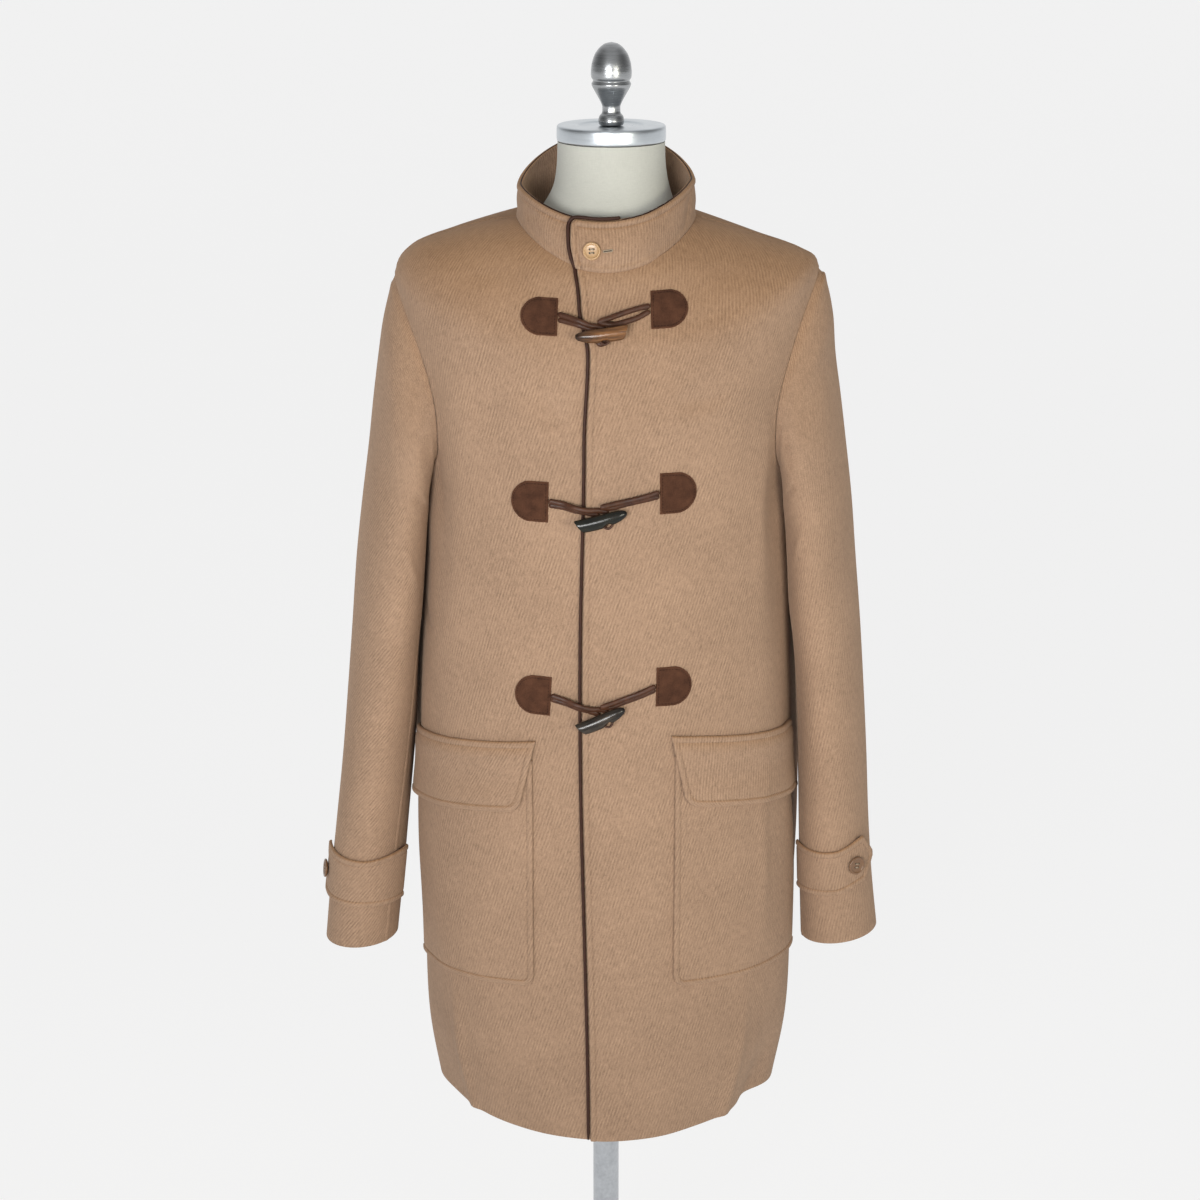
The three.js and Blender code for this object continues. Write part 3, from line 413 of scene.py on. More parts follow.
def wall_faces(rows, cols, flip):
    """Faces of a closed wall between two grids of the same size."""
    i, j = np.meshgrid(np.arange(rows - 1), np.arange(cols - 1), indexing="ij")
    a = (i * cols + j).ravel()
    top = np.stack([a, a + 1, a + cols + 1, a + cols], 1)
    n = rows * cols
    low = top[:, ::-1] + n
    left = np.arange(rows - 1) * cols
    right = left + cols - 1
    base = np.arange(cols - 1)
    head = base + (rows - 1) * cols
    sides = [
        np.stack([left, left + cols, left + cols + n, left + n], 1),
        np.stack([right, right + n, right + cols + n, right + cols], 1),
        np.stack([base, base + n, base + 1 + n, base + 1], 1),
        np.stack([head, head + 1, head + 1 + n, head + n], 1),
    ]
    faces = np.concatenate([top, low, *sides])
    return (faces[:, ::-1] if flip else faces).tolist()


def run_lengths(grid, axis):
    step = np.linalg.norm(np.diff(grid, axis=axis), axis=-1)
    pad = [(0, 0), (0, 0)]
    pad[axis] = (1, 0)
    return np.cumsum(np.pad(step, pad), axis=axis)


def near_line(grid, lines):
    """How far each point is from the nearest of the lines, and how far along it that is."""
    flat = grid.reshape(-1, 3)
    best, run = np.full(len(flat), 1e4), np.zeros(len(flat))
    for line in lines:
        skip = max(1, len(line) // 90)
        line = np.concatenate([line[:-1:skip], line[-1:]])
        done = 0.0
        for a, b in zip(line[:-1], line[1:]):
            v = b - a
            far = float(np.linalg.norm(v))
            if far < 1e-6:
                continue
            t = clamp((flat - a) @ v / far**2)
            d = np.linalg.norm(flat - a - t[:, None] * v, axis=1)
            near = d < best
            best[near], run[near] = d[near], done + t[near] * far
            done += far
    return best.reshape(grid.shape[:2]), run.reshape(grid.shape[:2])


STITCH = 6.6  # the topstitching's distance from an edge
STITCH_LONG, SUEDE_STITCH_LONG = 0.0036, 0.0033  # metres from one stitch to the next
RIB = 0.0034  # metres from one rib of the twill to the next
ROUND, SHUT = 1.2, 0.25  # how far a free edge and a seam's edge are rounded


def relief(d):
    """The raised edge of sewn cloth, with the line where the topstitching pulls it in."""
    raised = 0.8 * smooth(d / 1.6) * smooth((STITCH + 1.4 - d) / 1.6)
    return raised - 1.1 * np.exp(-(((d - STITCH) / 1.0) ** 2))


def rounded(d, by=ROUND):
    return -by * (1 - np.sqrt(1 - (1 - clamp(d / by)) ** 2))


NEAR = np.array([0, 0.3, 0.8, 1.5, 2.6, 4.0, 5.2, 6.0, 6.6, 7.2, 8.0, 9.2, 11.5])


def spaced(length, step, first=True, last=True):
    """Shares of a length, close together near its ends."""
    a = NEAR if first else np.array([0.0, 0.5, 1.5])
    b = length - (NEAR if last else np.array([0.0, 0.5, 1.5]))[::-1]
    count = max(2, int(round((b[0] - a[-1]) / step)))
    return np.concatenate([a, np.linspace(a[-1], b[0], count + 1)[1:-1], b]) / length


def hung_grain(outer, across, along, plumb):
    """The weave's grid on cloth that hangs from its plumb column, level to both sides of it."""
    rise = np.diff(outer[..., 2], axis=1)
    step = np.diff(across, axis=1)
    rise = np.clip(rise, -0.9 * step, 0.9 * step)
    u = np.cumsum(np.pad(np.sqrt(step**2 - rise**2), ((0, 0), (1, 0))), axis=1)
    v = np.cumsum(np.pad(rise, ((0, 0), (1, 0))), axis=1)
    at = plumb % outer.shape[1]
    return u - u[:, at:at + 1], v - v[:, at:at + 1] + along[:, at:at + 1]


def shell(node, outer, normal, thick, sewn=(), ribs=72, flip=False, mirror=False,
          edges=(ROUND,) * 4, seams=(), hung=None, swell=1.0, material="wool"):
    """A thin closed shell of cloth. outer is its face; sewn are the lines it is topstitched
    along and seams those it only swells along; ribs is the slant of its weave; mirror turns
    the weave's grid left to right; edges is how far each side is rounded: the first and last
    column, the first and last row; hung is the column whose weave hangs plumb; swell is how
    much more than usual the sewn edge stands out."""
    rows, cols = outer.shape[:2]
    across, along = run_lengths(outer, 1), run_lengths(outer, 0)
    sides = (across, across[:, -1:] - across, along, along[-1:] - along)
    rim = np.minimum.reduce([rounded(d, by) for d, by in zip(sides, edges)])
    d, run = near_line(outer, sewn) if sewn else (np.full((rows, cols), 1e3), across)
    raised = swell * relief(d) + rim
    if seams:
        raised = raised + 0.7 * np.exp(-(((near_line(outer, seams)[0] - 3.2) / 2.8) ** 2))
    face = outer + normal * raised[..., None]
    back = outer - normal * (thick + 0.4 * rim)[..., None]
    if hung is None:
        u, v = across - across[:, cols // 2:cols // 2 + 1], along
    else:
        u, v = hung_grain(outer, across, along, hung)
    if mirror:
        u = -u
    c, s = math.cos((90 - ribs) * RAD), math.sin((90 - ribs) * RAD)
    grain = np.stack([(u * c - v * s), (u * s + v * c)], -1).reshape(-1, 2) * MM
    seam = np.stack([d, run], -1).reshape(-1, 2) * MM
    far = np.stack([np.full(rows * cols, 1.0), np.zeros(rows * cols)], 1)
    points = np.concatenate([face.reshape(-1, 3), back.reshape(-1, 3)])
    obj = mesh(
        f"{node}_{material}", points, wall_faces(rows, cols, flip),
        [("grain", np.concatenate([grain, grain])), ("seam", np.concatenate([seam, far]))],
    )
    return finish(obj, node, material)


def lofted(name, rings, sharp=None):
    """A closed body through rings of points, with a flat fan over each end."""
    rings = np.asarray(rings, float)
    count, cols = rings.shape[:2]
    i, j = np.meshgrid(np.arange(count - 1), np.arange(cols), indexing="ij")
    k = (j + 1) % cols
    faces = np.stack([i * cols + j, i * cols + k, (i + 1) * cols + k, (i + 1) * cols + j], -1)
    faces = faces.reshape(-1, 4).tolist()
    points = np.concatenate([rings.reshape(-1, 3), rings[:1].mean(1), rings[-1:].mean(1)])
    low, high, last = count * cols, count * cols + 1, (count - 1) * cols
    for j in range(cols):
        k = (j + 1) % cols
        faces.append([low, k, j])
        faces.append([high, last + j, last + k])
    return mesh(name, points, faces, sharp=sharp)


def curve(points, count):
    """Points close together on a smooth line through a few."""
    p = np.asarray(points, float)
    chord = np.linalg.norm(np.diff(p, axis=0), axis=1) ** 0.5
    at = np.concatenate([[0], np.cumsum(chord)])
    p = np.concatenate([[2 * p[0] - p[1]], p, [2 * p[-1] - p[-2]]])
    at = np.concatenate([[at[0] - chord[0]], at, [at[-1] + chord[-1]]])
    out = []
    for t in np.linspace(at[1], at[-2] - 1e-9, count):
        i = int(np.searchsorted(at, t, "right")) - 1
        i = min(max(i, 1), len(p) - 3)
        t0, t1, t2, t3 = at[i - 1:i + 3]
        a1 = mix(p[i - 1], p[i], (t - t0) / (t1 - t0))
        a2 = mix(p[i], p[i + 1], (t - t1) / (t2 - t1))
        a3 = mix(p[i + 1], p[i + 2], (t - t2) / (t3 - t2))
        b1 = mix(a1, a2, (t - t0) / (t2 - t0))
        b2 = mix(a2, a3, (t - t1) / (t3 - t1))
        out.append(mix(b1, b2, (t - t1) / (t2 - t1)))
    return np.array(out)


def tube(name, line, wide, thick=None, sides=12):
    """A cord along close points, rounded at both ends; thick is its radius out of the cloth."""
    thick = thick or wide
    line = np.asarray(line)
    ahead = unit(np.gradient(line, axis=0))
    out = np.array([0.0, -1.0, 0.15])
    aside = unit(np.cross(ahead, out))
    up = np.cross(aside, ahead)
    a = np.arange(sides) / sides * 2 * math.pi
    scale = np.ones(len(line))
    run = np.concatenate([[0], np.cumsum(np.linalg.norm(np.diff(line, axis=0), axis=1))])
    for d in (run, run[-1] - run):
        scale = scale * (0.55 + 0.45 * np.sqrt(clamp(d / wide) * (2 - clamp(d / wide))))
    rings = (line[:, None]
             + aside[:, None] * (np.cos(a) * wide)[None, :, None] * scale[:, None, None]
             + up[:, None] * (np.sin(a) * thick)[None, :, None] * scale[:, None, None])
    return lofted(name, rings)


def turned(name, profile, sides=64, sharp=35, rounds=3):
    """A turned solid from a profile of radii and heights, its corners a little softened."""
    p = np.array(profile, float)
    for _ in range(rounds):
        inner = np.stack([mix(p[:-1], p[1:], 0.18), mix(p[:-1], p[1:], 0.82)], 1).reshape(-1, 2)
        p = np.concatenate([p[:1], inner, p[-1:]])
    p[:, 0] = np.maximum(p[:, 0], 0.02)
    a = np.arange(sides) / sides * 2 * math.pi
    rings = np.stack([
        p[:, :1] * np.cos(a), p[:, :1] * np.sin(a), np.repeat(p[:, 1:], sides, 1)], -1)
    return lofted(name, rings, sharp)


def place(obj, matrix, at):
    """Moves a mesh's own points: turned by a 3 by 3 matrix, then to a place."""
    return move_points(obj, points_of(obj) @ np.asarray(matrix).T + np.asarray(at) * MM)


# Materials

class Shader:
    """A material's nodes, made in short calls."""

    def __init__(self, name, **constants):
        self.material = bpy.data.materials.new(name)
        self.material.use_nodes = True
        self.nodes = self.material.node_tree.nodes
        self.links = self.material.node_tree.links
        self.shader = self.nodes["Principled BSDF"]
        for key, value in constants.items():
            self.shader.inputs[key.replace("_", " ")].default_value = value
        FINISHES[name] = self.material

    def node(self, kind, inputs=(), **props):
        n = self.nodes.new("ShaderNode" + kind)
        for key, value in props.items():
            setattr(n, key, value)
        for key, value in dict(inputs).items():
            self.put(n.inputs[key], value)
        return n

    def put(self, socket, value):
        if isinstance(value, bpy.types.NodeSocket):
            self.links.new(value, socket)
        else:
            socket.default_value = value

    def math(self, operation, a, b=0.0, c=0.0, clamped=False):
        n = self.node("Math", operation=operation, use_clamp=clamped)
        for socket, value in zip(n.inputs, (a, b, c)):
            self.put(socket, value)
        return n.outputs[0]

    def noise(self, vector, scale, detail=2.0, rough=0.5):
        return self.node("TexNoise", {
            "Vector": vector, "Scale": scale, "Detail": detail, "Roughness": rough,
        }).outputs[0]

    def blend(self, share, a, b, kind="MIX"):
        n = self.node("Mix", data_type="RGBA", blend_type=kind)
        self.put(n.inputs[0], share)
        self.put(n.inputs[6], a)
        self.put(n.inputs[7], b)
        return n.outputs[2]

    def stretch(self, vector, scale):
        return self.node("Mapping", {"Vector": vector, "Scale": scale}).outputs[0]

    def bump(self, height, distance, strength=1.0):
        n = self.node("Bump", {"Height": height, "Distance": distance, "Strength": strength})
        self.put(self.shader.inputs["Normal"], n.outputs[0])

    def colour(self, value):
        self.put(self.shader.inputs["Base Color"], value)

    def where(self):
        return self.node("TexCoord").outputs["Object"]


def rgb(r, g, b):
    """A colour as the screen shows it, from 0 to 255, made linear."""
    return [((c / 255 + 0.055) / 1.055) ** 2.4 if c > 10 else c / 3295 for c in (r, g, b)] + [1.0]


def wool_finish(name, light, dark):
    """Napped twill: slanting ribs that come and go, under a short hairy nap, with painted shade
    darker and warmer on surfaces that face upward.
    """
    m = Shader(name, Roughness=0.94, Sheen_Weight=0.2, Sheen_Roughness=0.55,
               Sheen_Tint=rgb(228, 204, 182), Specular_IOR_Level=0.12)
    grain = m.node("UVMap", uv_map="grain").outputs[0]
    seam = m.node("SeparateXYZ", {0: m.node("UVMap", uv_map="seam").outputs[0]})
    spot = m.where()
    u = m.node("SeparateXYZ", {0: grain}).outputs[0]
    waver = m.noise(m.stretch(grain, (60, 22, 1)), 1.0, 2)
    ribs = m.math("SINE", m.math("MULTIPLY_ADD", u, 2 * math.pi / RIB,
                                 m.math("MULTIPLY", waver, 4.0)))
    patchy = m.math("MULTIPLY_ADD", m.noise(spot, 45.0, 2), 2.4, -0.45, clamped=True)
    ribs = m.math("MULTIPLY", ribs, patchy)
    broken = m.noise(m.stretch(grain, (560, 150, 1)), 1.0, 2)
    nap = m.noise(spot, 700.0, 3, 0.6)
    soft = m.noise(spot, 130.0, 3, 0.55)
    cloud = m.noise(spot, 14.0, 3, 0.5)
    stitch = m.math("COMPARE", seam.outputs[0], STITCH * MM, 0.0006)
    beat = m.math("SINE", m.math("MULTIPLY", seam.outputs[1], 2 * math.pi / STITCH_LONG))
    dash = m.math("MULTIPLY", stitch, m.math("MULTIPLY_ADD", beat, 0.3, 0.5))
    total = m.math("MULTIPLY_ADD", ribs, 0.17, 0.5)
    for source, gain in ((broken, 0.9), (nap, 0.9), (soft, 0.4), (cloud, 0.4)):
        centred = m.math("SUBTRACT", source, 0.5)
        total = m.math("MULTIPLY_ADD", centred, gain, total)
    total = m.math("MULTIPLY_ADD", dash, -0.3, total, clamped=True)
    # Painted shade: surfaces that face upward, such as the shoulders, take a darker, warmer pair of
    # colours, standing in for how the light falls on them
    up = m.node("SeparateXYZ", {0: m.node("NewGeometry").outputs["Normal"]}).outputs[2]
    top_painted_shade = m.math("MULTIPLY_ADD", up, 1.3, -0.1, clamped=True)
    m.colour(m.blend(top_painted_shade, m.blend(total, dark, light),
                     m.blend(total, rgb(123, 92, 66), rgb(168, 132, 99))))
    height = m.math("MULTIPLY_ADD", ribs, 0.28, m.math("MULTIPLY", broken, 0.5))
    height = m.math("MULTIPLY_ADD", nap, 0.8, height)
    height = m.math("MULTIPLY_ADD", soft, 0.5, height)
    m.bump(m.math("MULTIPLY_ADD", dash, -0.4, height), 0.0007, 0.6)


def suede_finish():
    m = Shader("suede", Roughness=0.93, Sheen_Weight=0.3, Sheen_Roughness=0.5,
               Sheen_Tint=rgb(150, 104, 84), Specular_IOR_Level=0.15)
    at = m.where()
    seam = m.node("SeparateXYZ", {0: m.node("UVMap", uv_map="seam").outputs[0]})
    nap = m.noise(at, 900.0, 3, 0.6)
    cloud = m.noise(at, 95.0, 3)
    stitch = m.math("COMPARE", seam.outputs[0], 0.0026, 0.0005)
    beat = m.math("SINE", m.math("MULTIPLY", seam.outputs[1], 2 * math.pi / SUEDE_STITCH_LONG))
    dash = m.math("MULTIPLY", stitch, m.math("MULTIPLY_ADD", beat, 0.4, 0.5))
    share = m.math("MULTIPLY_ADD", m.math("SUBTRACT", cloud, 0.5), 1.1, 0.5)
    share = m.math("MULTIPLY_ADD", m.math("SUBTRACT", nap, 0.5), 0.7, share)
    share = m.math("MULTIPLY_ADD", dash, -0.5, share, clamped=True)
    worn = m.math("MULTIPLY_ADD", seam.outputs[0], -1.0 / 0.0009, 1.0, clamped=True)
    share = m.math("MULTIPLY_ADD", worn, 0.8, share, clamped=True)
    m.colour(m.blend(share, rgb(46, 27, 18), rgb(88, 57, 41)))
    m.bump(m.math("MULTIPLY_ADD", nap, 0.8, m.math("MULTIPLY_ADD", dash, -1.2, cloud)), 0.0005, 0.5)


def leather_finish(name, dark, light, shine):
    m = Shader(name, Roughness=shine, Specular_IOR_Level=0.2, Coat_Weight=0.04,
               Coat_Roughness=0.3)
    at = m.where()
    grain = m.node("TexVoronoi", {"Vector": at, "Scale": 900.0}).outputs["Distance"]
    cloud = m.noise(at, 130.0, 3)
    m.colour(m.blend(m.math("MULTIPLY_ADD", cloud, 1.6, -0.3, clamped=True), dark, light))
    m.put(m.shader.inputs["Roughness"], m.math("MULTIPLY_ADD", cloud, 0.2, shine - 0.1))
    m.bump(m.math("MULTIPLY_ADD", grain, 0.5, cloud), 0.0003, 0.4)


def horn_finish(name, dark, light, tip, lean, at, flip):
    """Streaked horn: light in the middle, darker towards its thin end."""
    m = Shader(name, Roughness=0.22, Specular_IOR_Level=0.28, Coat_Weight=0.12,
               Coat_Roughness=0.1, Subsurface_Weight=0.04, Subsurface_Scale=0.004)
    moved = m.node("Mapping", {
        "Vector": m.where(), "Location": [-c * MM for c in at],
    }).outputs[0]
    turned_ = m.node("Mapping", {"Vector": moved, "Rotation": (0, lean * RAD, 0)}).outputs[0]
    streak = m.noise(m.stretch(turned_, (45, 420, 420)), 1.0, 4, 0.6)
    broad = m.noise(m.stretch(turned_, (40, 120, 120)), 1.0, 3)
    x = m.node("SeparateXYZ", {0: turned_}).outputs[0]
    share = m.math("MULTIPLY_ADD", m.math("SUBTRACT", streak, 0.5), 2.4, broad, clamped=True)
    ends = m.math("MULTIPLY_ADD", x, -flip / 0.022, -0.25, clamped=True)
    m.colour(m.blend(ends, m.blend(share, dark, light), tip))
    m.bump(streak, 0.0002, 0.3)


def plain_finish(name, colour, other, rough, scale, bump, **constants):
    m = Shader(name, Roughness=rough, **constants)
    at = m.where()
    fine, broad = m.noise(at, scale, 3, 0.6), m.noise(at, scale / 14, 3)
    share = m.math("MULTIPLY_ADD", fine, 0.5, m.math("MULTIPLY", broad, 0.5))
    m.colour(m.blend(share, colour, other))
    m.put(m.shader.inputs["Roughness"], m.math("MULTIPLY_ADD", broad, 0.16, rough - 0.08))
    m.bump(fine, bump, 0.5)


def linen_finish():
    m = Shader("linen", Roughness=0.85, Sheen_Weight=0.1, Specular_IOR_Level=0.2)
    at = m.where()
    warp = m.noise(m.stretch(at, (1500, 1500, 160)), 1.0, 1)
    weft = m.noise(m.stretch(at, (160, 160, 1500)), 1.0, 1)
    weave = m.math("MULTIPLY_ADD", warp, 0.5, m.math("MULTIPLY", weft, 0.5))
    cloud = m.noise(at, 22.0, 3)
    share = m.math("MULTIPLY_ADD", m.math("SUBTRACT", cloud, 0.5), 0.8, weave, clamped=True)
    m.colour(m.blend(share, rgb(174, 174, 166), rgb(196, 196, 187)))
    m.bump(weave, 0.0003, 0.4)


def metal_finish(name, dark, light, rough, around):
    """Turned metal: fine rings round the form's axis."""
    m = Shader(name, Metallic=1.0, Roughness=rough)
    at = m.where()
    lines = m.noise(m.stretch(at, (30, 30, 2600) if around else (260, 260, 260)), 1.0, 2)
    cloud = m.noise(at, 60.0, 3)
    share = m.math("MULTIPLY_ADD", lines, 0.6, m.math("MULTIPLY", cloud, 0.5), clamped=True)
    m.colour(m.blend(share, dark, light))
    m.put(m.shader.inputs["Roughness"], m.math("MULTIPLY_ADD", lines, 0.2, rough - 0.08))
    m.bump(lines, 0.0001, 0.35)


wool_finish("wool", rgb(170, 140, 116), rgb(121, 98, 80))
suede_finish()
leather_finish("leather", rgb(44, 24, 15), rgb(82, 50, 33), 0.42)
leather_finish("piping", rgb(42, 23, 16), rgb(64, 38, 27), 0.6)
linen_finish()
metal_finish("aluminium", rgb(176, 182, 188), rgb(222, 228, 232), 0.3, True)
metal_finish("pewter", rgb(120, 122, 124), rgb(196, 198, 200), 0.26, True)
metal_finish("steel", rgb(150, 153, 157), rgb(205, 208, 212), 0.32, False)
plain_finish("button", rgb(148, 112, 72), rgb(192, 156, 112), 0.36, 420.0, 0.0001,
             Specular_IOR_Level=0.5, Coat_Weight=0.2)
plain_finish("button_dark", rgb(86, 60, 40), rgb(130, 96, 66), 0.34, 420.0, 0.0001,
             Specular_IOR_Level=0.5, Coat_Weight=0.2)
# Painted shade: the dark hole finish colours the button's holes and the buttonhole's slit, standing
# in for the shade inside them
plain_finish("hole", rgb(38, 28, 22), rgb(56, 42, 32), 0.8, 900.0, 0.0001)
plain_finish("thread", rgb(120, 104, 84), rgb(168, 154, 134), 0.85, 1500.0, 0.0002)
HORN = {
    "top": (rgb(50, 31, 19), rgb(132, 90, 54), rgb(22, 15, 12)),
    "middle": (rgb(11, 13, 10), rgb(33, 31, 22), rgb(12, 12, 10)),
    "low": (rgb(17, 15, 13), rgb(64, 55, 46), rgb(17, 14, 12)),
}

# The coat's body

EDGE_SWING = np.array([(0, 6), (5, -2), (9, 3), (11, 7), (13, -2), (15, -6)], float)


def edge_x(level):
    level = np.asarray(level, float)
    i = np.clip(np.searchsorted(EDGE_SWING[:, 0], level, "right") - 1, 0, len(EDGE_SWING) - 2)
    a, b = EDGE_SWING[i], EDGE_SWING[i + 1]
    share = smooth((level - a[..., 0]) / (b[..., 0] - a[..., 0]))
    return EDGE_X + mix(a[..., 1], b[..., 1], share)


def armhole(theta):
    t = np.abs((theta + 540) % 360 - 180) * RAD
    half = np.where(np.sin(theta * RAD) >= 0, ARM_FRONT, ARM_BACK)
    share = (1 + np.cos(t)) / 2
    return half * np.sin(t) * (1 - ARM_LOW * np.cos(t)), mix(UNDERARM, SHOULDER_TIP, share)


ARM_STEPS = 64
HEM_ROWS = spaced(720, 5.0, True, False) * UNDERARM
NECK_ROWS = mix(SHOULDER_TIP, NECK, spaced(130, 5.0, False, True))[1:]


def panel_rows(side):
    cut, level = armhole(side * np.linspace(180, 0, ARM_STEPS + 1))
    levels = np.concatenate([HEM_ROWS[:-1], level, NECK_ROWS])
    cuts = np.concatenate([0 * HEM_ROWS[:-1], cut, 0 * NECK_ROWS])
    arm = slice(len(HEM_ROWS) - 1, len(HEM_ROWS) + ARM_STEPS)
    return levels, cuts, arm


SEAM_ANGLE = 0.08


def front_panel(node, sign, start_x, lift):
    levels, cuts, arm = panel_rows(1)
    ring = ring_at(levels)
    near = angle_at(ring, start_x(levels))
    far = sign * (90 - cuts - SEAM_ANGLE)
    shares = spaced(330, 5.0)
    shares = shares if sign > 0 else 1 - shares[::-1]
    ends = (near, far) if sign > 0 else (far, near)
    angles = ends[0][:, None] + (ends[1] - ends[0])[:, None] * shares[None]
    rows = np.broadcast_to(levels[:, None], angles.shape)
    x = on_ring({k: v[:, None] for k, v in ring.items()}, angles)[..., 0]
    side = -1 if sign > 0 else 0

    outer = lapped(angles, rows, lift(x))
    front_edge = (outer[:, 0],) if sign > 0 else ()
    edges = (ROUND, SHUT, ROUND, SHUT) if sign > 0 else (SHUT, ROUND, ROUND, SHUT)
    shell(node, outer, body_out(angles, rows), CLOTH, front_edge, ribs=72, edges=edges,
          seams=(outer[arm, side],), hung=-1 - side)


front_panel("front_left", 1, edge_x, lap_lift)
front_panel("front_right", -1, lambda level: np.full(np.shape(level), float(UNDER_X)),
            lambda x: 0 * x)


def back_panel():
    levels, cuts, arm = panel_rows(-1)
    shares = spaced(640, 5.5)
    start, end = 90 + cuts + SEAM_ANGLE, 270 - cuts - SEAM_ANGLE
    angles = start[:, None] + (end - start)[:, None] * shares[None]
    rows = np.broadcast_to(levels[:, None], angles.shape)
    high = slice(arm.start, None)
    outer = lapped(angles, rows, 0.0 * angles)
    shell("back", outer, body_out(angles, rows), CLOTH, ribs=72,
          edges=(SHUT, SHUT, ROUND, SHUT), seams=(outer[high, 0], outer[high, -1]),
          hung=len(shares) // 2)


back_panel()

# Sleeves and straps


def sleeve_surface(rows, sign):
    def section(theta, row):
        get = {k: column(v, row) for k, v in rows.items()}
        bump = bumps(SLEEVE_FOLDS, theta, row)
        bump = bump + strokes(SLEEVE_CREASES[sign], theta, row, *SLEEVE_SCALE)
        mid = np.stack([(get["ox"] + get["ix"]) / 2, get["y"], (get["oz"] + get["iz"]) / 2], -1)
        ax, az = (get["ox"] - get["ix"]) / 2, (get["oz"] - get["iz"]) / 2
        c, s = np.cos(theta * RAD), np.sin(theta * RAD)
        reach = (1 + bump / np.hypot(ax, az)) * c
        x, y, z = ax * reach, -(get["deep"] + bump) * s, az * reach
        a = -get["turn"] * RAD
        turned_x, turned_y = x * np.cos(a) - y * np.sin(a), x * np.sin(a) + y * np.cos(a)
        return mid + np.stack([turned_x, turned_y, z], -1)

    def hole_edge(theta):
        cut, level = armhole(theta)
        back = np.where(np.sin(theta * RAD) >= 0, -1, 1)
        angle = sign * (90 + back * cut)
        p = body(angle, level)
        middle = mix(UNDERARM, SHOULDER_TIP, 0.45)
        inwards = body(np.array(sign * 90.0), np.array(middle)) - p
        n = body_out(angle, level)
        inwards = unit(inwards - n * (inwards * n).sum(-1, keepdims=True))
        p = p + inwards * (SEAM + 0.05)
        return p * np.array([sign, 1, 1])

    def surface(theta, row):
        theta, row = np.broadcast_arrays(np.asarray(theta, float), np.asarray(row, float))
        p = section(theta, row)
        left = smooth(1 - row / SLEEVE_BLEND)[..., None]
        p = p + (hole_edge(theta) - section(theta, 0 * row)) * left
        return p * np.array([sign, 1, 1])

    return surface


def sleeve_out(surface, sign, theta, row):
    r = np.clip(row, 0.03, 12.97)
    return outward(surface, theta, r, 1, 0.03) * sign


def sleeve_piece(node, surface, sign, start, end):
    half = 0.13
    width = 300 * (end - start) / 216
    theta = mix(start + half, end - half, spaced(width, 4.5))
    row = spaced(760, 5.0, True, True) * 13
    theta, row = np.meshgrid(theta, row)
    outer = surface(theta, row)
    n = sleeve_out(surface, sign, theta, row)
    outer = outer[::-1]
    shell(node, outer, n[::-1], CLOTH, ribs=55 if sign < 0 else 74, flip=sign > 0,
          mirror=sign > 0, edges=(SHUT, SHUT, ROUND, SHUT), seams=(outer[:, 0],))


def strap_face(surface, sign, spec, theta, row):
    """A strap's face: its two ends stand off the sleeve more."""
    n = outward(surface, theta, row, 1, 0.03) * sign
    tip = STRAP_FLARE * smooth((spec["to"] + 45 - theta) / 60)
    end = spec["end_off"] * smooth((theta - 100) / 60)
    return surface(theta, row) + n * (CLOTH + STRAP_LIFT + tip + end)[..., None]


def strap_row(spec, theta, share):
    """The row of a strap at an angle: share 0 is its upper edge and 1 its lower one."""
    top = spec["top"] - spec["end_up"] * smooth((theta - 85) / 70)
    near = clamp((theta - spec["to"]) / STRAP_POINT)
    half = (spec["low"] - top) / 2 * mix(0.12, 1, near)
    raised = spec["tip_up"] * smooth((spec["to"] + 65 - theta) / 65)
    return (spec["low"] + top) / 2 - raised + (2 * share - 1) * half


def strap_piece(node, surface, sign, spec):
    theta = mix(spec["to"], spec["from"], spaced(180, 3.0))
    theta, share = np.meshgrid(theta, spaced(50, 2.2))
    row = strap_row(spec, theta, share)
    outer = strap_face(surface, sign, spec, theta, row)
    n = outward(lambda u, v: strap_face(surface, sign, spec, u, v), theta, row, 2, 0.05) * sign
    outer, n = outer[::-1], n[::-1]
    lines = [outer[0], outer[-1], outer[:, 0]]
    shell(node, outer, n, CLOTH, lines, ribs=55 if sign < 0 else 74, flip=sign > 0,
          mirror=sign > 0)


def facing(normal):
    """A 3 by 3 matrix that turns +Z to a direction."""
    z = unit(np.asarray(normal, float))
    x = unit(np.cross([0.0, 0.3, 1.0], z))
    return np.stack([x, np.cross(z, x), z], 1)


def button_on(node, at, normal, material, size=1.0):
    r, t = BUTTON_RADIUS * size, BUTTON_THICK
    turn = facing(normal)
    profile = [(0, 0), (r * 0.7, 0), (r * 0.97, t * 0.4), (r, t * 0.72), (r * 0.93, t),
               (r * 0.8, t), (r * 0.7, t * 0.74), (0, t * 0.66)]
    obj = turned(f"{node}_face", profile, 48)
    finish(place(obj, turn, at), node, material)
    hole = r * 0.2
    # Four shallow dark pits: painted shade for the holes through the button
    for k in range(4):
        x, y = hole * (1 if k % 2 else -1), hole * (1 if k > 1 else -1)
        pit = turned(f"{node}_hole_{k}", [(0, t * 0.62), (1.15, t * 0.62), (1.15, t * 0.735),
                                          (0, t * 0.735)], 14, rounds=1)
        finish(place(pit, turn, at + turn @ np.array([x, y, 0])), None, "hole")
    for k, side in enumerate((-1, 1)):
        ends = [(-hole, side * hole * 0.9, t * 0.72), (0, side * hole * 0.95, t * 0.92),
                (hole, side * hole * 0.9, t * 0.72)]
        line = curve([at + turn @ np.array(e) for e in ends], 9)
        finish(tube(f"{node}_thread_{k}", line, 0.7, sides=8), None, "thread")


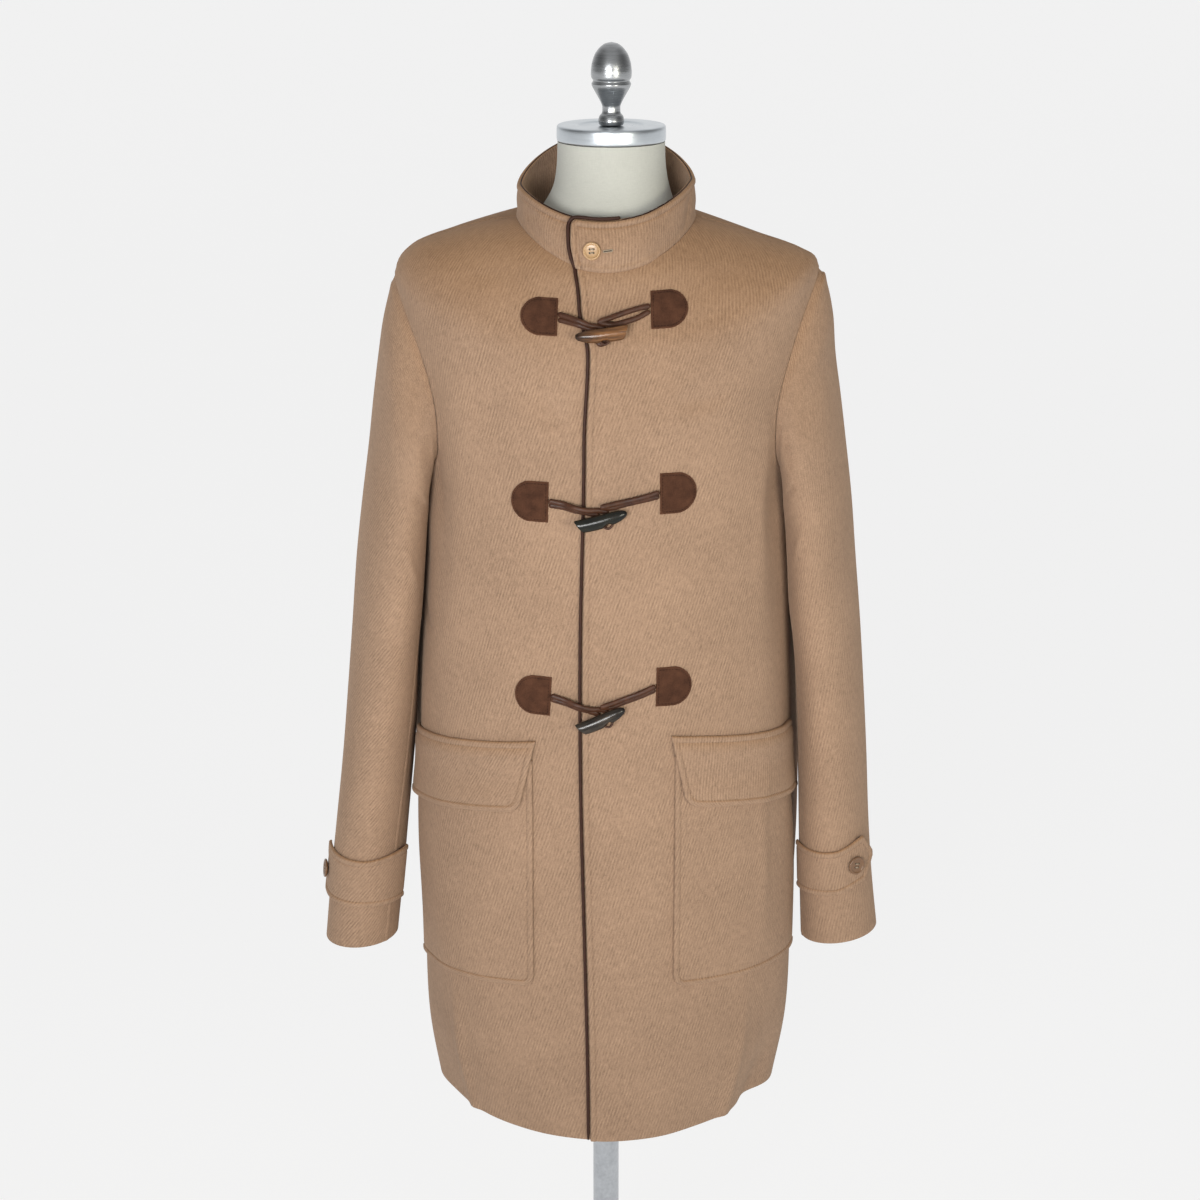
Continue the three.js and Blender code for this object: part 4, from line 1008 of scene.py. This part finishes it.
for name, rows, sign in (("right", RIGHT_SLEEVE, -1), ("left", LEFT_SLEEVE, 1)):
    surface = sleeve_surface(rows, sign)
    sleeve_piece(f"sleeve_{name}_top", surface, sign, BACK_SEAM, TOP_SEAM)
    sleeve_piece(f"sleeve_{name}_under", surface, sign, TOP_SEAM, BACK_SEAM + 360)
    strap = STRAPS[name]
    strap_piece(f"cuff_strap_{name}", surface, sign, strap)
    theta = np.array(float(strap["button"]))
    row = strap_row(strap, theta, 0.5)
    seat = strap_face(surface, sign, strap, theta, row)
    n = outward(lambda u, v: strap_face(surface, sign, strap, u, v), theta, row, 4, 0.1) * sign
    button_on(f"cuff_button_{name}", seat + n * 3 * SEAM, n, "button_dark")

# Collar and piping

NECK_RING = {k: v[NECK] for k, v in BODY.items()}


def collar_lift(x):
    return np.maximum(COLLAR_LIFT * (1 - smooth((x - COLLAR_UNDER_X - 8) / 44)), lap_lift(x))


COLLAR_HIGH, COLLAR_CORNER = 45, 8  # the band's height, and its corner's radius
COLLAR_SLANT = 4.2  # its end leans back this far to meet the front's edge


def collar_edge(share):
    """Where the collar's upper end is at a share of its height."""
    corner = clamp((share - 1) * COLLAR_HIGH / COLLAR_CORNER + 1) * COLLAR_CORNER
    back = COLLAR_CORNER - np.sqrt(np.maximum(0.0, COLLAR_CORNER**2 - corner**2))
    return COLLAR_EDGE_X + COLLAR_SLANT * clamp(1 - share / 0.5) ** 1.5 + back


COLLAR_CREASES = [
    (77, 1.05, 56, -0.1, 6, -2.2, 2), (-62, 0.2, -48, 0.8, 8, -1.3, -3),
    (118, 0.9, 126, 0.15, 9, -1.2, 2), (-130, 0.85, -120, 0.1, 9, -1.3, 3),
    (84, 0.2, 92, 0.8, 8, 1.0, 2), (-96, 0.9, -88, 0.2, 8, 1.0, -2),
]


def collar(angle, share, out):
    angle, share = np.broadcast_arrays(np.asarray(angle, float), np.asarray(share, float))
    base, rim = on_ring(NECK_RING, angle), on_ring(RIM, angle)
    n = np.stack([np.sin(angle * RAD), -np.cos(angle * RAD), 0 * angle], -1)
    bow = COLLAR_BOW * (1 - np.sin(angle * RAD) ** 2) * 4 * share * (1 - share)
    bow = bow + strokes(COLLAR_CREASES, angle, share, *COLLAR_SCALE)
    p = base + (rim - base) * share[..., None] + n * (bow + out)[..., None]
    return p + np.array([0, 0, SEAM + 0.1])


def collar_band(node, thick, inset, outside):
    along, shares = np.meshgrid(spaced(640, 4.0), spaced(COLLAR_HIGH, 2.2))
    start = angle_at(NECK_RING, collar_edge(np.minimum(shares, 0.99)))
    end = 360 + angle_at(NECK_RING, float(COLLAR_UNDER_X))
    angles = mix(start, end, along)
    x = on_ring(NECK_RING, angles)[..., 0]
    lift = np.where(angles < 90, collar_lift(x), 0.0) - inset
    outer = collar(angles, shares, lift)
    outer[0, :, 2] -= 1.4
    n = unit(np.cross(np.gradient(outer, axis=1), np.gradient(outer, axis=0)))
    lines = (outer[-1], outer[:, 0]) if outside else ()
    shell(node, outer, n, thick, lines, ribs=82, edges=(ROUND, ROUND, SHUT, ROUND),
          seams=(outer[0],) if outside else (), swell=1.5)


collar_band("collar", CLOTH, 0, True)
collar_band("collar_facing", FACING, CLOTH + SEAM, False)


def collar_end(x, share, out):
    ring = dict(NECK_RING, half=mix(NECK_RING["half"], RIM["half"], share))
    return collar(angle_at(ring, np.asarray(x, float)), share, COLLAR_LIFT + np.asarray(out))


levels = np.linspace(0.02, NECK, 160)
angles = angle_at(ring_at(levels), edge_x(levels) - PIPING - PIPING_GAP)
line = lapped(angles, levels, np.full(levels.shape, LAP_LIFT - CLOTH + PIPING + SEAM))
finish(tube("front_piping_leather", line, PIPING), "front_piping", "piping")

beside = PIPING + 0.6
out = -CLOTH - FACING + PIPING + 1.6
points = [line[-6], line[-2]]
points += [collar_end(float(collar_edge(k)) - beside, k, out) for k in (0.16, 0.35, 0.6, 0.8, 0.9)]
points.append(collar_end(float(collar_edge(0.975)) - 0.7 * beside, 0.975, out)
              + [0, 0, 0.7 * beside])
for dx in (11, 20, 30, 40, 48):
    points.append(collar_end(COLLAR_EDGE_X + dx, 1, out) + [0, 0, beside])
piping = tube("collar_piping_leather", curve(points, 110), 1.9)
finish(piping, "collar_piping", "piping")
angles = np.linspace(angle_at(NECK_RING, 16.0), 342, 220)
lift = np.where(angles < 90, collar_lift(on_ring(NECK_RING, angles)[..., 0]), 0.0)
rim = collar(angles, np.ones(angles.shape), lift - CLOTH - 0.3) + [0, 0, -0.3]
finish(tube("collar_rim_piping", rim, 0.7, sides=8), None, "piping")

at = collar_end(-13, 0.4, SEAM)
n = unit(np.cross(collar_end(-11, 0.4, SEAM) - collar_end(-15, 0.4, SEAM),
                  collar_end(-13, 0.45, SEAM) - collar_end(-13, 0.35, SEAM)))
button_on("collar_button", at, n, "button", 0.88)
slit = [collar_end(-3 + k, 0.41 + 0.002 * k, 0.3) for k in np.linspace(0, 9.5, 14)]
finish(tube("collar_buttonhole", slit, 1.5, 0.5, sides=10), None, "thread")
# The buttonhole's slit: a thin dark cord of painted shade between its stitched lips
slit = [collar_end(-2 + k, 0.41 + 0.002 * k, 0.75) for k in np.linspace(0, 7.5, 14)]
finish(tube("collar_buttonhole_slit", slit, 0.45, 0.3, sides=8), None, "hole")

# Fastenings

ON_LOWER = SEAM + STRAND
ON_UPPER = LAP_LIFT + SEAM + STRAND
OVER_PIPING = ON_UPPER + 2


def patch(node, x, z, away, lean, high):
    t = np.sin(np.linspace(-1, 1, 33) * math.pi / 2)
    shares = spaced(38, 2.0)
    grid_t, s = np.meshgrid(t, shares, indexing="ij")
    wide = PATCH_STRAIGHT + PATCH_ROUND * np.sqrt(1 - grid_t * grid_t * 0.98)
    px, pz = away * s * wide, grid_t * high / 2
    c, d = math.cos(lean * RAD), math.sin(lean * RAD)
    at_x, at_z = x + px * c - pz * d, z + px * d + pz * c
    outer = front(at_x, at_z, np.full(at_x.shape, SEAM + SUEDE))
    low = front(at_x, at_z, np.full(at_x.shape, float(SEAM)))
    n = unit(outer - low)
    border = [outer[:, 0], outer[:, -1], outer[0], outer[-1]]
    d_edge, run = near_line(outer, border)
    sunk = rounded(d_edge, 1.0) - 0.35 * np.exp(-(((d_edge - 2.6) / 0.7) ** 2))
    points = np.concatenate([(outer + n * sunk[..., None]).reshape(-1, 3), low.reshape(-1, 3)])
    pairs = np.stack([d_edge, run], -1).reshape(-1, 2) * MM
    far = np.tile([1.0, 0.0], (len(pairs), 1))
    obj = mesh(f"{node}_suede", points, wall_faces(*outer.shape[:2], away < 0),
               [("seam", np.concatenate([pairs, far]))])
    finish(obj, node, "suede")


def cord_lift(x):
    climbing = mix(ON_LOWER, OVER_PIPING, smooth((x - EDGE_X + 24) / 20))
    return mix(climbing, ON_UPPER + SEAM, smooth((x - EDGE_X) / 12))


def toggle_cord(f):
    def put(x, z, over=0.0):
        return ground(np.array(x), np.array(z), np.array(cord_lift(x) + over))

    def strand(side):
        shares = (0, 0.3, 0.55, 0.78)
        return [put(mix(f["rx"] + 0.8, f["tx"] - 4, t),
                    mix(f["rz"], f["tz"] + 6, t**1.1) + side * mix(2.4, 1.2, t), 1.2 + 1.2 * side)
                for t in shares]

    bight = [(-1.5, 9), (3.4, 7), (4.2, 0), (1.6, -6.4), (-1.6, -6.4), (-4.2, -1), (-5.4, 3.4)]
    around = [put(f["tx"] + dx, f["tz"] + dz) for dx, dz in bight]
    return [*strand(1), *around, *strand(-1)[::-1]]


def loop_cord(f):
    start = f["lx"] - 1.3
    high = ON_UPPER + 2 * STRAND + SEAM

    def put(t, side):
        x = mix(start, f["tx"] + 6, t)
        z = mix(f["lz"], f["tz"] + 13.5, t**0.9)
        spread = side * mix(2.3, f["open"], math.sin(math.pi * t) ** 0.7)
        lift = mix(lap_lift(x) + ON_LOWER, high, smooth((f["tx"] + 13 - x) / 8))
        return ground(np.array(x), np.array(z + spread), np.array(lift + 0.9 + 0.9 * side))

    shares = (0, 0.25, 0.5, 0.75, 0.92)
    hook = ground(np.array(f["tx"] - 1.0), np.array(f["tz"] + 13.4), np.array(high))
    return [*(put(t, 1) for t in shares), hook, *(put(t, -1) for t in shares[::-1])]


NOTCH_AT = 3.5  # how far the toggle's notch is from its middle


def toggle(name, f):
    far = TOGGLE_LONG
    profile = [(0, -0.5), (0.3, -0.49), (0.54, -0.44), (0.78, -0.33), (0.94, -0.14),
               (1, 0.08), (1, 0.3), (0.97, 0.44), (0.93, 0.485), (0.86, 0.5), (0, 0.5)]
    obj = turned(f"toggle_{name}_horn", [(a, b * far) for a, b in profile], 48, sharp=40)
    px, py, pz = points_of(obj).T / MM
    along = f["thick"] * pz
    side = -f["thick"] * px * TOGGLE_HIGH
    py = py * TOGGLE_DEEP
    square = smooth((pz / far - 0.1) / 0.4)
    notch = np.exp(-(((along - NOTCH_AT) / 4.2) ** 4)) * smooth(-side / 4)
    along = along + f["thick"] * square * TOGGLE_SLANT * side
    side = side + TOGGLE_BEND * along**2 + 2.4 * notch
    lean = f["tLean"] * RAD
    x = along * math.cos(lean) - side * math.sin(lean)
    z = along * math.sin(lean) + side * math.cos(lean)
    at = ground(np.array(f["tx"]), np.array(f["tz"]),
                np.array(ON_UPPER + STRAND + 2 * SEAM + TOGGLE_DEEP))
    move_points(obj, (np.stack([x, -py, z], 1) + at) * MM)
    dark, light, tip = HORN[name]
    horn_finish(f"horn_{name}", dark, light, tip, f["tLean"], at, f["thick"])
    finish(obj, f"toggle_{name}", f"horn_{name}")
    bow = [(-5.2, -3.4, 1), (-4.2, -6.6, 0), (0, -9, -0.6), (4.2, -6.6, 0), (5.2, -3.4, 1)]
    ring = [at + [(NOTCH_AT + a) * math.cos(lean) - s * math.sin(lean), b,
                  (NOTCH_AT + a) * math.sin(lean) + s * math.cos(lean)] for a, s, b in bow]
    finish(tube(f"toggle_{name}_ring", curve(ring, 30), 1.3), None, "leather")


for name, f in FASTENINGS.items():
    patch(f"patch_{name}_right", f["rx"], f["rz"], -1, f["rLean"], f["high"])
    patch(f"patch_{name}_left", f["lx"], f["lz"], 1, f["lLean"], f["high"])
    cord = tube(f"toggle_cord_{name}_leather", curve(toggle_cord(f), 130), 2.8, 1.5)
    finish(cord, f"toggle_cord_{name}", "leather")
    loop = tube(f"loop_{name}_leather", curve(loop_cord(f), 110), 2.8, 1.5)
    finish(loop, f"loop_{name}", "leather")
    toggle(name, f)

# Pockets and flaps


def side_patch(node, spec, lift, sewn):
    s = spec["sign"]
    high = spec["topIn"] - spec["lowIn"]
    down = spaced(high, 4.0)
    left = np.minimum(CORNER, (1 - down) * high)
    corner = CORNER - np.sqrt(CORNER**2 - (CORNER - left) ** 2)
    inner_x = s * (spec["inX"] + spec["slant"] * down + corner)
    inner = level_at(inner_x, mix(spec["topIn"], spec["lowIn"], down))
    reach = s * float(ring_at(np.array(3.0))["half"])
    outer = level_at(np.full(down.shape, reach), mix(spec["topOut"], spec["lowOut"], down))
    start = angle_at(ring_at(inner), inner_x)
    t = spaced(190, 4.0)[None]
    angle = start[:, None] + (s * spec["outAt"] - start)[:, None] * t
    level = inner[:, None] + (outer - inner)[:, None] * t
    x = on_ring(ring_at(level), angle)[..., 0]
    lap = lap_lift(x) if s > 0 else 0 * x
    n = body_out(angle, level)
    grid = lapped(angle, level, lap) + n * (lift(down)[:, None, None] + CLOTH)
    grid, n = grid[::-1], n[::-1]
    shell(node, grid, n, CLOTH, sewn(grid), ribs=72, flip=s < 0, mirror=s < 0, hung=0)


for name, spec in POCKETS.items():
    side_patch(f"pocket_{name}", spec, lambda down: np.full(down.shape, PANEL_GAP),
               lambda g: [g[:, 0], g[0]])
for name, spec in FLAPS.items():
    side_patch(f"pocket_flap_{name}", spec,
               lambda down: mix(PANEL_GAP, 2 * PANEL_GAP + CLOTH, smooth(down / 0.22))
               + 2.8 * smooth((down - 0.4) / 0.6),
               lambda g: [g[:, 0], g[0], g[-1]])

# The form and its stand


def torso():
    angles = np.linspace(-180, 180, 121)[:-1]
    levels = np.concatenate([np.linspace(FORM_LOW, 11, 40), np.linspace(11.2, 14.5, 16)])
    a, level = np.meshgrid(angles, levels)
    beside = np.exp(-(((np.abs(a) - 90) / 24) ** 2))
    ridge = beside * smooth((level - SHOULDER_TIP - 0.2) / 0.8)
    slack = mix(34, 12, smooth((level - FORM_LOW) / 6))
    inset = CLOTH + FORM_GAP + slack * (1 - ridge) + 6 * smooth(level - NECK + 1)
    trunk = on_ring(ring_at(level), a) - body_out(a, level) * inset[..., None]
    trunk[0, :, 2] = ring_at(np.array(float(FORM_LOW)))["side"]
    neck = table("z half fore aft shift", [
        (1408, 80, 80, 72, 1.8), (1424, 69, 70, 64, 3.7), (1442, 61, 62, 59, 5.5),
        (1464, 57, 57, 57, 5.5), (CAP_LOW - SEAM, 56, 56, 56, 5.5),
    ])
    rows = np.linspace(0, 4, 25)[:, None]
    get = {k: column(v, rows) for k, v in neck.items()}
    s, c = np.sin(angles * RAD)[None], np.cos(angles * RAD)[None]
    deep = np.where(c > 0, get["fore"], get["aft"])
    up = np.stack([get["half"] * s + get["shift"], -deep * c,
                   np.broadcast_to(get["z"], deep.shape)], -1)
    obj = lofted("form_torso_linen", np.concatenate([trunk, up]), 50)
    finish(obj, "form_torso", "linen")


torso()
shift = np.array([NECK_SHIFT, 0, 0])
same = np.eye(3)
r = CAP_RADIUS
cap = turned("form_cap_metal", [
    (0, CAP_LOW), (r - 1.5, CAP_LOW), (r, CAP_LOW + 1.5), (r, CAP_HIGH - 2), (r - 2, CAP_HIGH),
    (r * 0.62, CAP_HIGH), (r * 0.58, CAP_HIGH - 1.5), (r * 0.54, CAP_HIGH - 1.6),
    (0, CAP_HIGH - 1.6)], 128, rounds=2)
finish(place(cap, same, shift), "form_cap", "aluminium")

z = CAP_HIGH - 1.3
finial = turned("form_finial_metal", [(q, z + h) for q, h in [
    (0, 0), (12.5, 0), (13.7, 5), (12.5, 10), (9.5, 13), (9.3, 20), (11.5, 25), (16, 33),
    (20, 40), (20.7, 43), (18.9, 45.6), (19.2, 46.8), (20.9, 49), (21.3, 55), (20.3, 64),
    (17.3, 73), (12.4, 79.5), (7, 83.6), (0, 85)]], 72, sharp=60)
finish(place(finial, same, shift), "form_finial", "pewter")

low, high = BASE_EDGE + 30.3, float(ring_at(np.array(3.0))["side"]) - SEAM
pole = turned("form_pole_metal", [(0, low), (POLE_RADIUS, low), (POLE_RADIUS, high), (0, high)],
              48, rounds=1)
finish(pole, "form_pole", "steel")
e, b = BASE_EDGE, BASE_RADIUS
base = turned("form_base_metal", [
    (0, 0), (b - 2, 0), (b, 2), (b, e - 3), (b - 4, e), (60, e + 5), (30, e + 12),
    (24, e + 30), (0, e + 30)], 128, rounds=2)
finish(base, "form_base", "steel")

# Floor, light and camera

floor_shader = Shader("floor", Roughness=0.9, Specular_IOR_Level=0.1,
                      Emission_Color=(1, 1, 1, 1), Emission_Strength=0.73)
pale = floor_shader.noise(floor_shader.where(), 3.0, 2)
floor_shader.colour(floor_shader.blend(pale, rgb(138, 138, 138), rgb(140, 140, 140)))
data = bpy.data.meshes.new("floor")
far = 60
corners = [(-far, -far, 0), (far, -far, 0), (far, far, 0), (-far, far, 0)]
data.from_pydata(corners, [], [(0, 1, 2, 3)])
data.materials.append(FINISHES["floor"])
floor = linked("floor", data)

# Light from all round: less from both sides, more from behind
world = bpy.data.worlds.new("studio")
world.use_nodes = True
nodes, links = world.node_tree.nodes, world.node_tree.links


def world_math(operation, *values):
    n = nodes.new("ShaderNodeMath")
    n.operation = operation
    for socket, value in zip(n.inputs, values):
        if isinstance(value, bpy.types.NodeSocket):
            links.new(value, socket)
        else:
            socket.default_value = value
    return n.outputs[0]


sky = nodes["Background"]
sky.inputs["Color"].default_value = (1, 1, 1, 1)
split = nodes.new("ShaderNodeSeparateXYZ")
links.new(nodes.new("ShaderNodeTexCoord").outputs["Generated"], split.inputs[0])
shade = nodes.new("ShaderNodeMapRange")
shade.interpolation_type = "SMOOTHSTEP"
for key, value in (("From Min", 0.3), ("From Max", 0.95), ("To Min", 0.51), ("To Max", 0.16)):
    shade.inputs[key].default_value = value
links.new(world_math("ABSOLUTE", split.outputs[0]), shade.inputs["Value"])
behind = world_math("MAXIMUM", split.outputs[1], 0.0)
links.new(world_math("MULTIPLY_ADD", behind, 0.4, shade.outputs["Result"]), sky.inputs["Strength"])
bpy.context.scene.world = world


def softbox(name, at, to, wide, high, power, spread, colour):
    light = bpy.data.lights.new(name, "AREA")
    light.color = colour
    light.shape, light.spread = "RECTANGLE", spread * RAD
    light.size, light.size_y, light.energy = wide, high, power
    obj = linked(name, light)
    obj.location = at
    aim = np.array(to) - np.array(at)
    obj.rotation_euler = (
        math.atan2(math.hypot(aim[0], aim[1]), -aim[2]), 0, math.atan2(-aim[0], aim[1]))


softbox("key", (-0.8, -3.0, 1.5), (0, 0, 1.08), 1.2, 0.8, 7.8, 60, (1, 1, 1))
softbox("fill", (1.4, -2.8, 1.4), (0, 0, 1.05), 1.0, 0.8, 4.0, 60, (1, 0.97, 0.84))

camera = bpy.data.cameras.new("camera")
camera.lens, camera.sensor_width, camera.shift_x = 75, 36, -0.005
view = bpy.data.objects.new("camera", camera)
view.location = (0, -2.6269, 1.8156)
view.rotation_euler = (72.5 * RAD, 0, 0)
bpy.context.scene.collection.objects.link(view)
bpy.context.scene.camera = view
bpy.context.scene.view_settings.view_transform = "Standard"
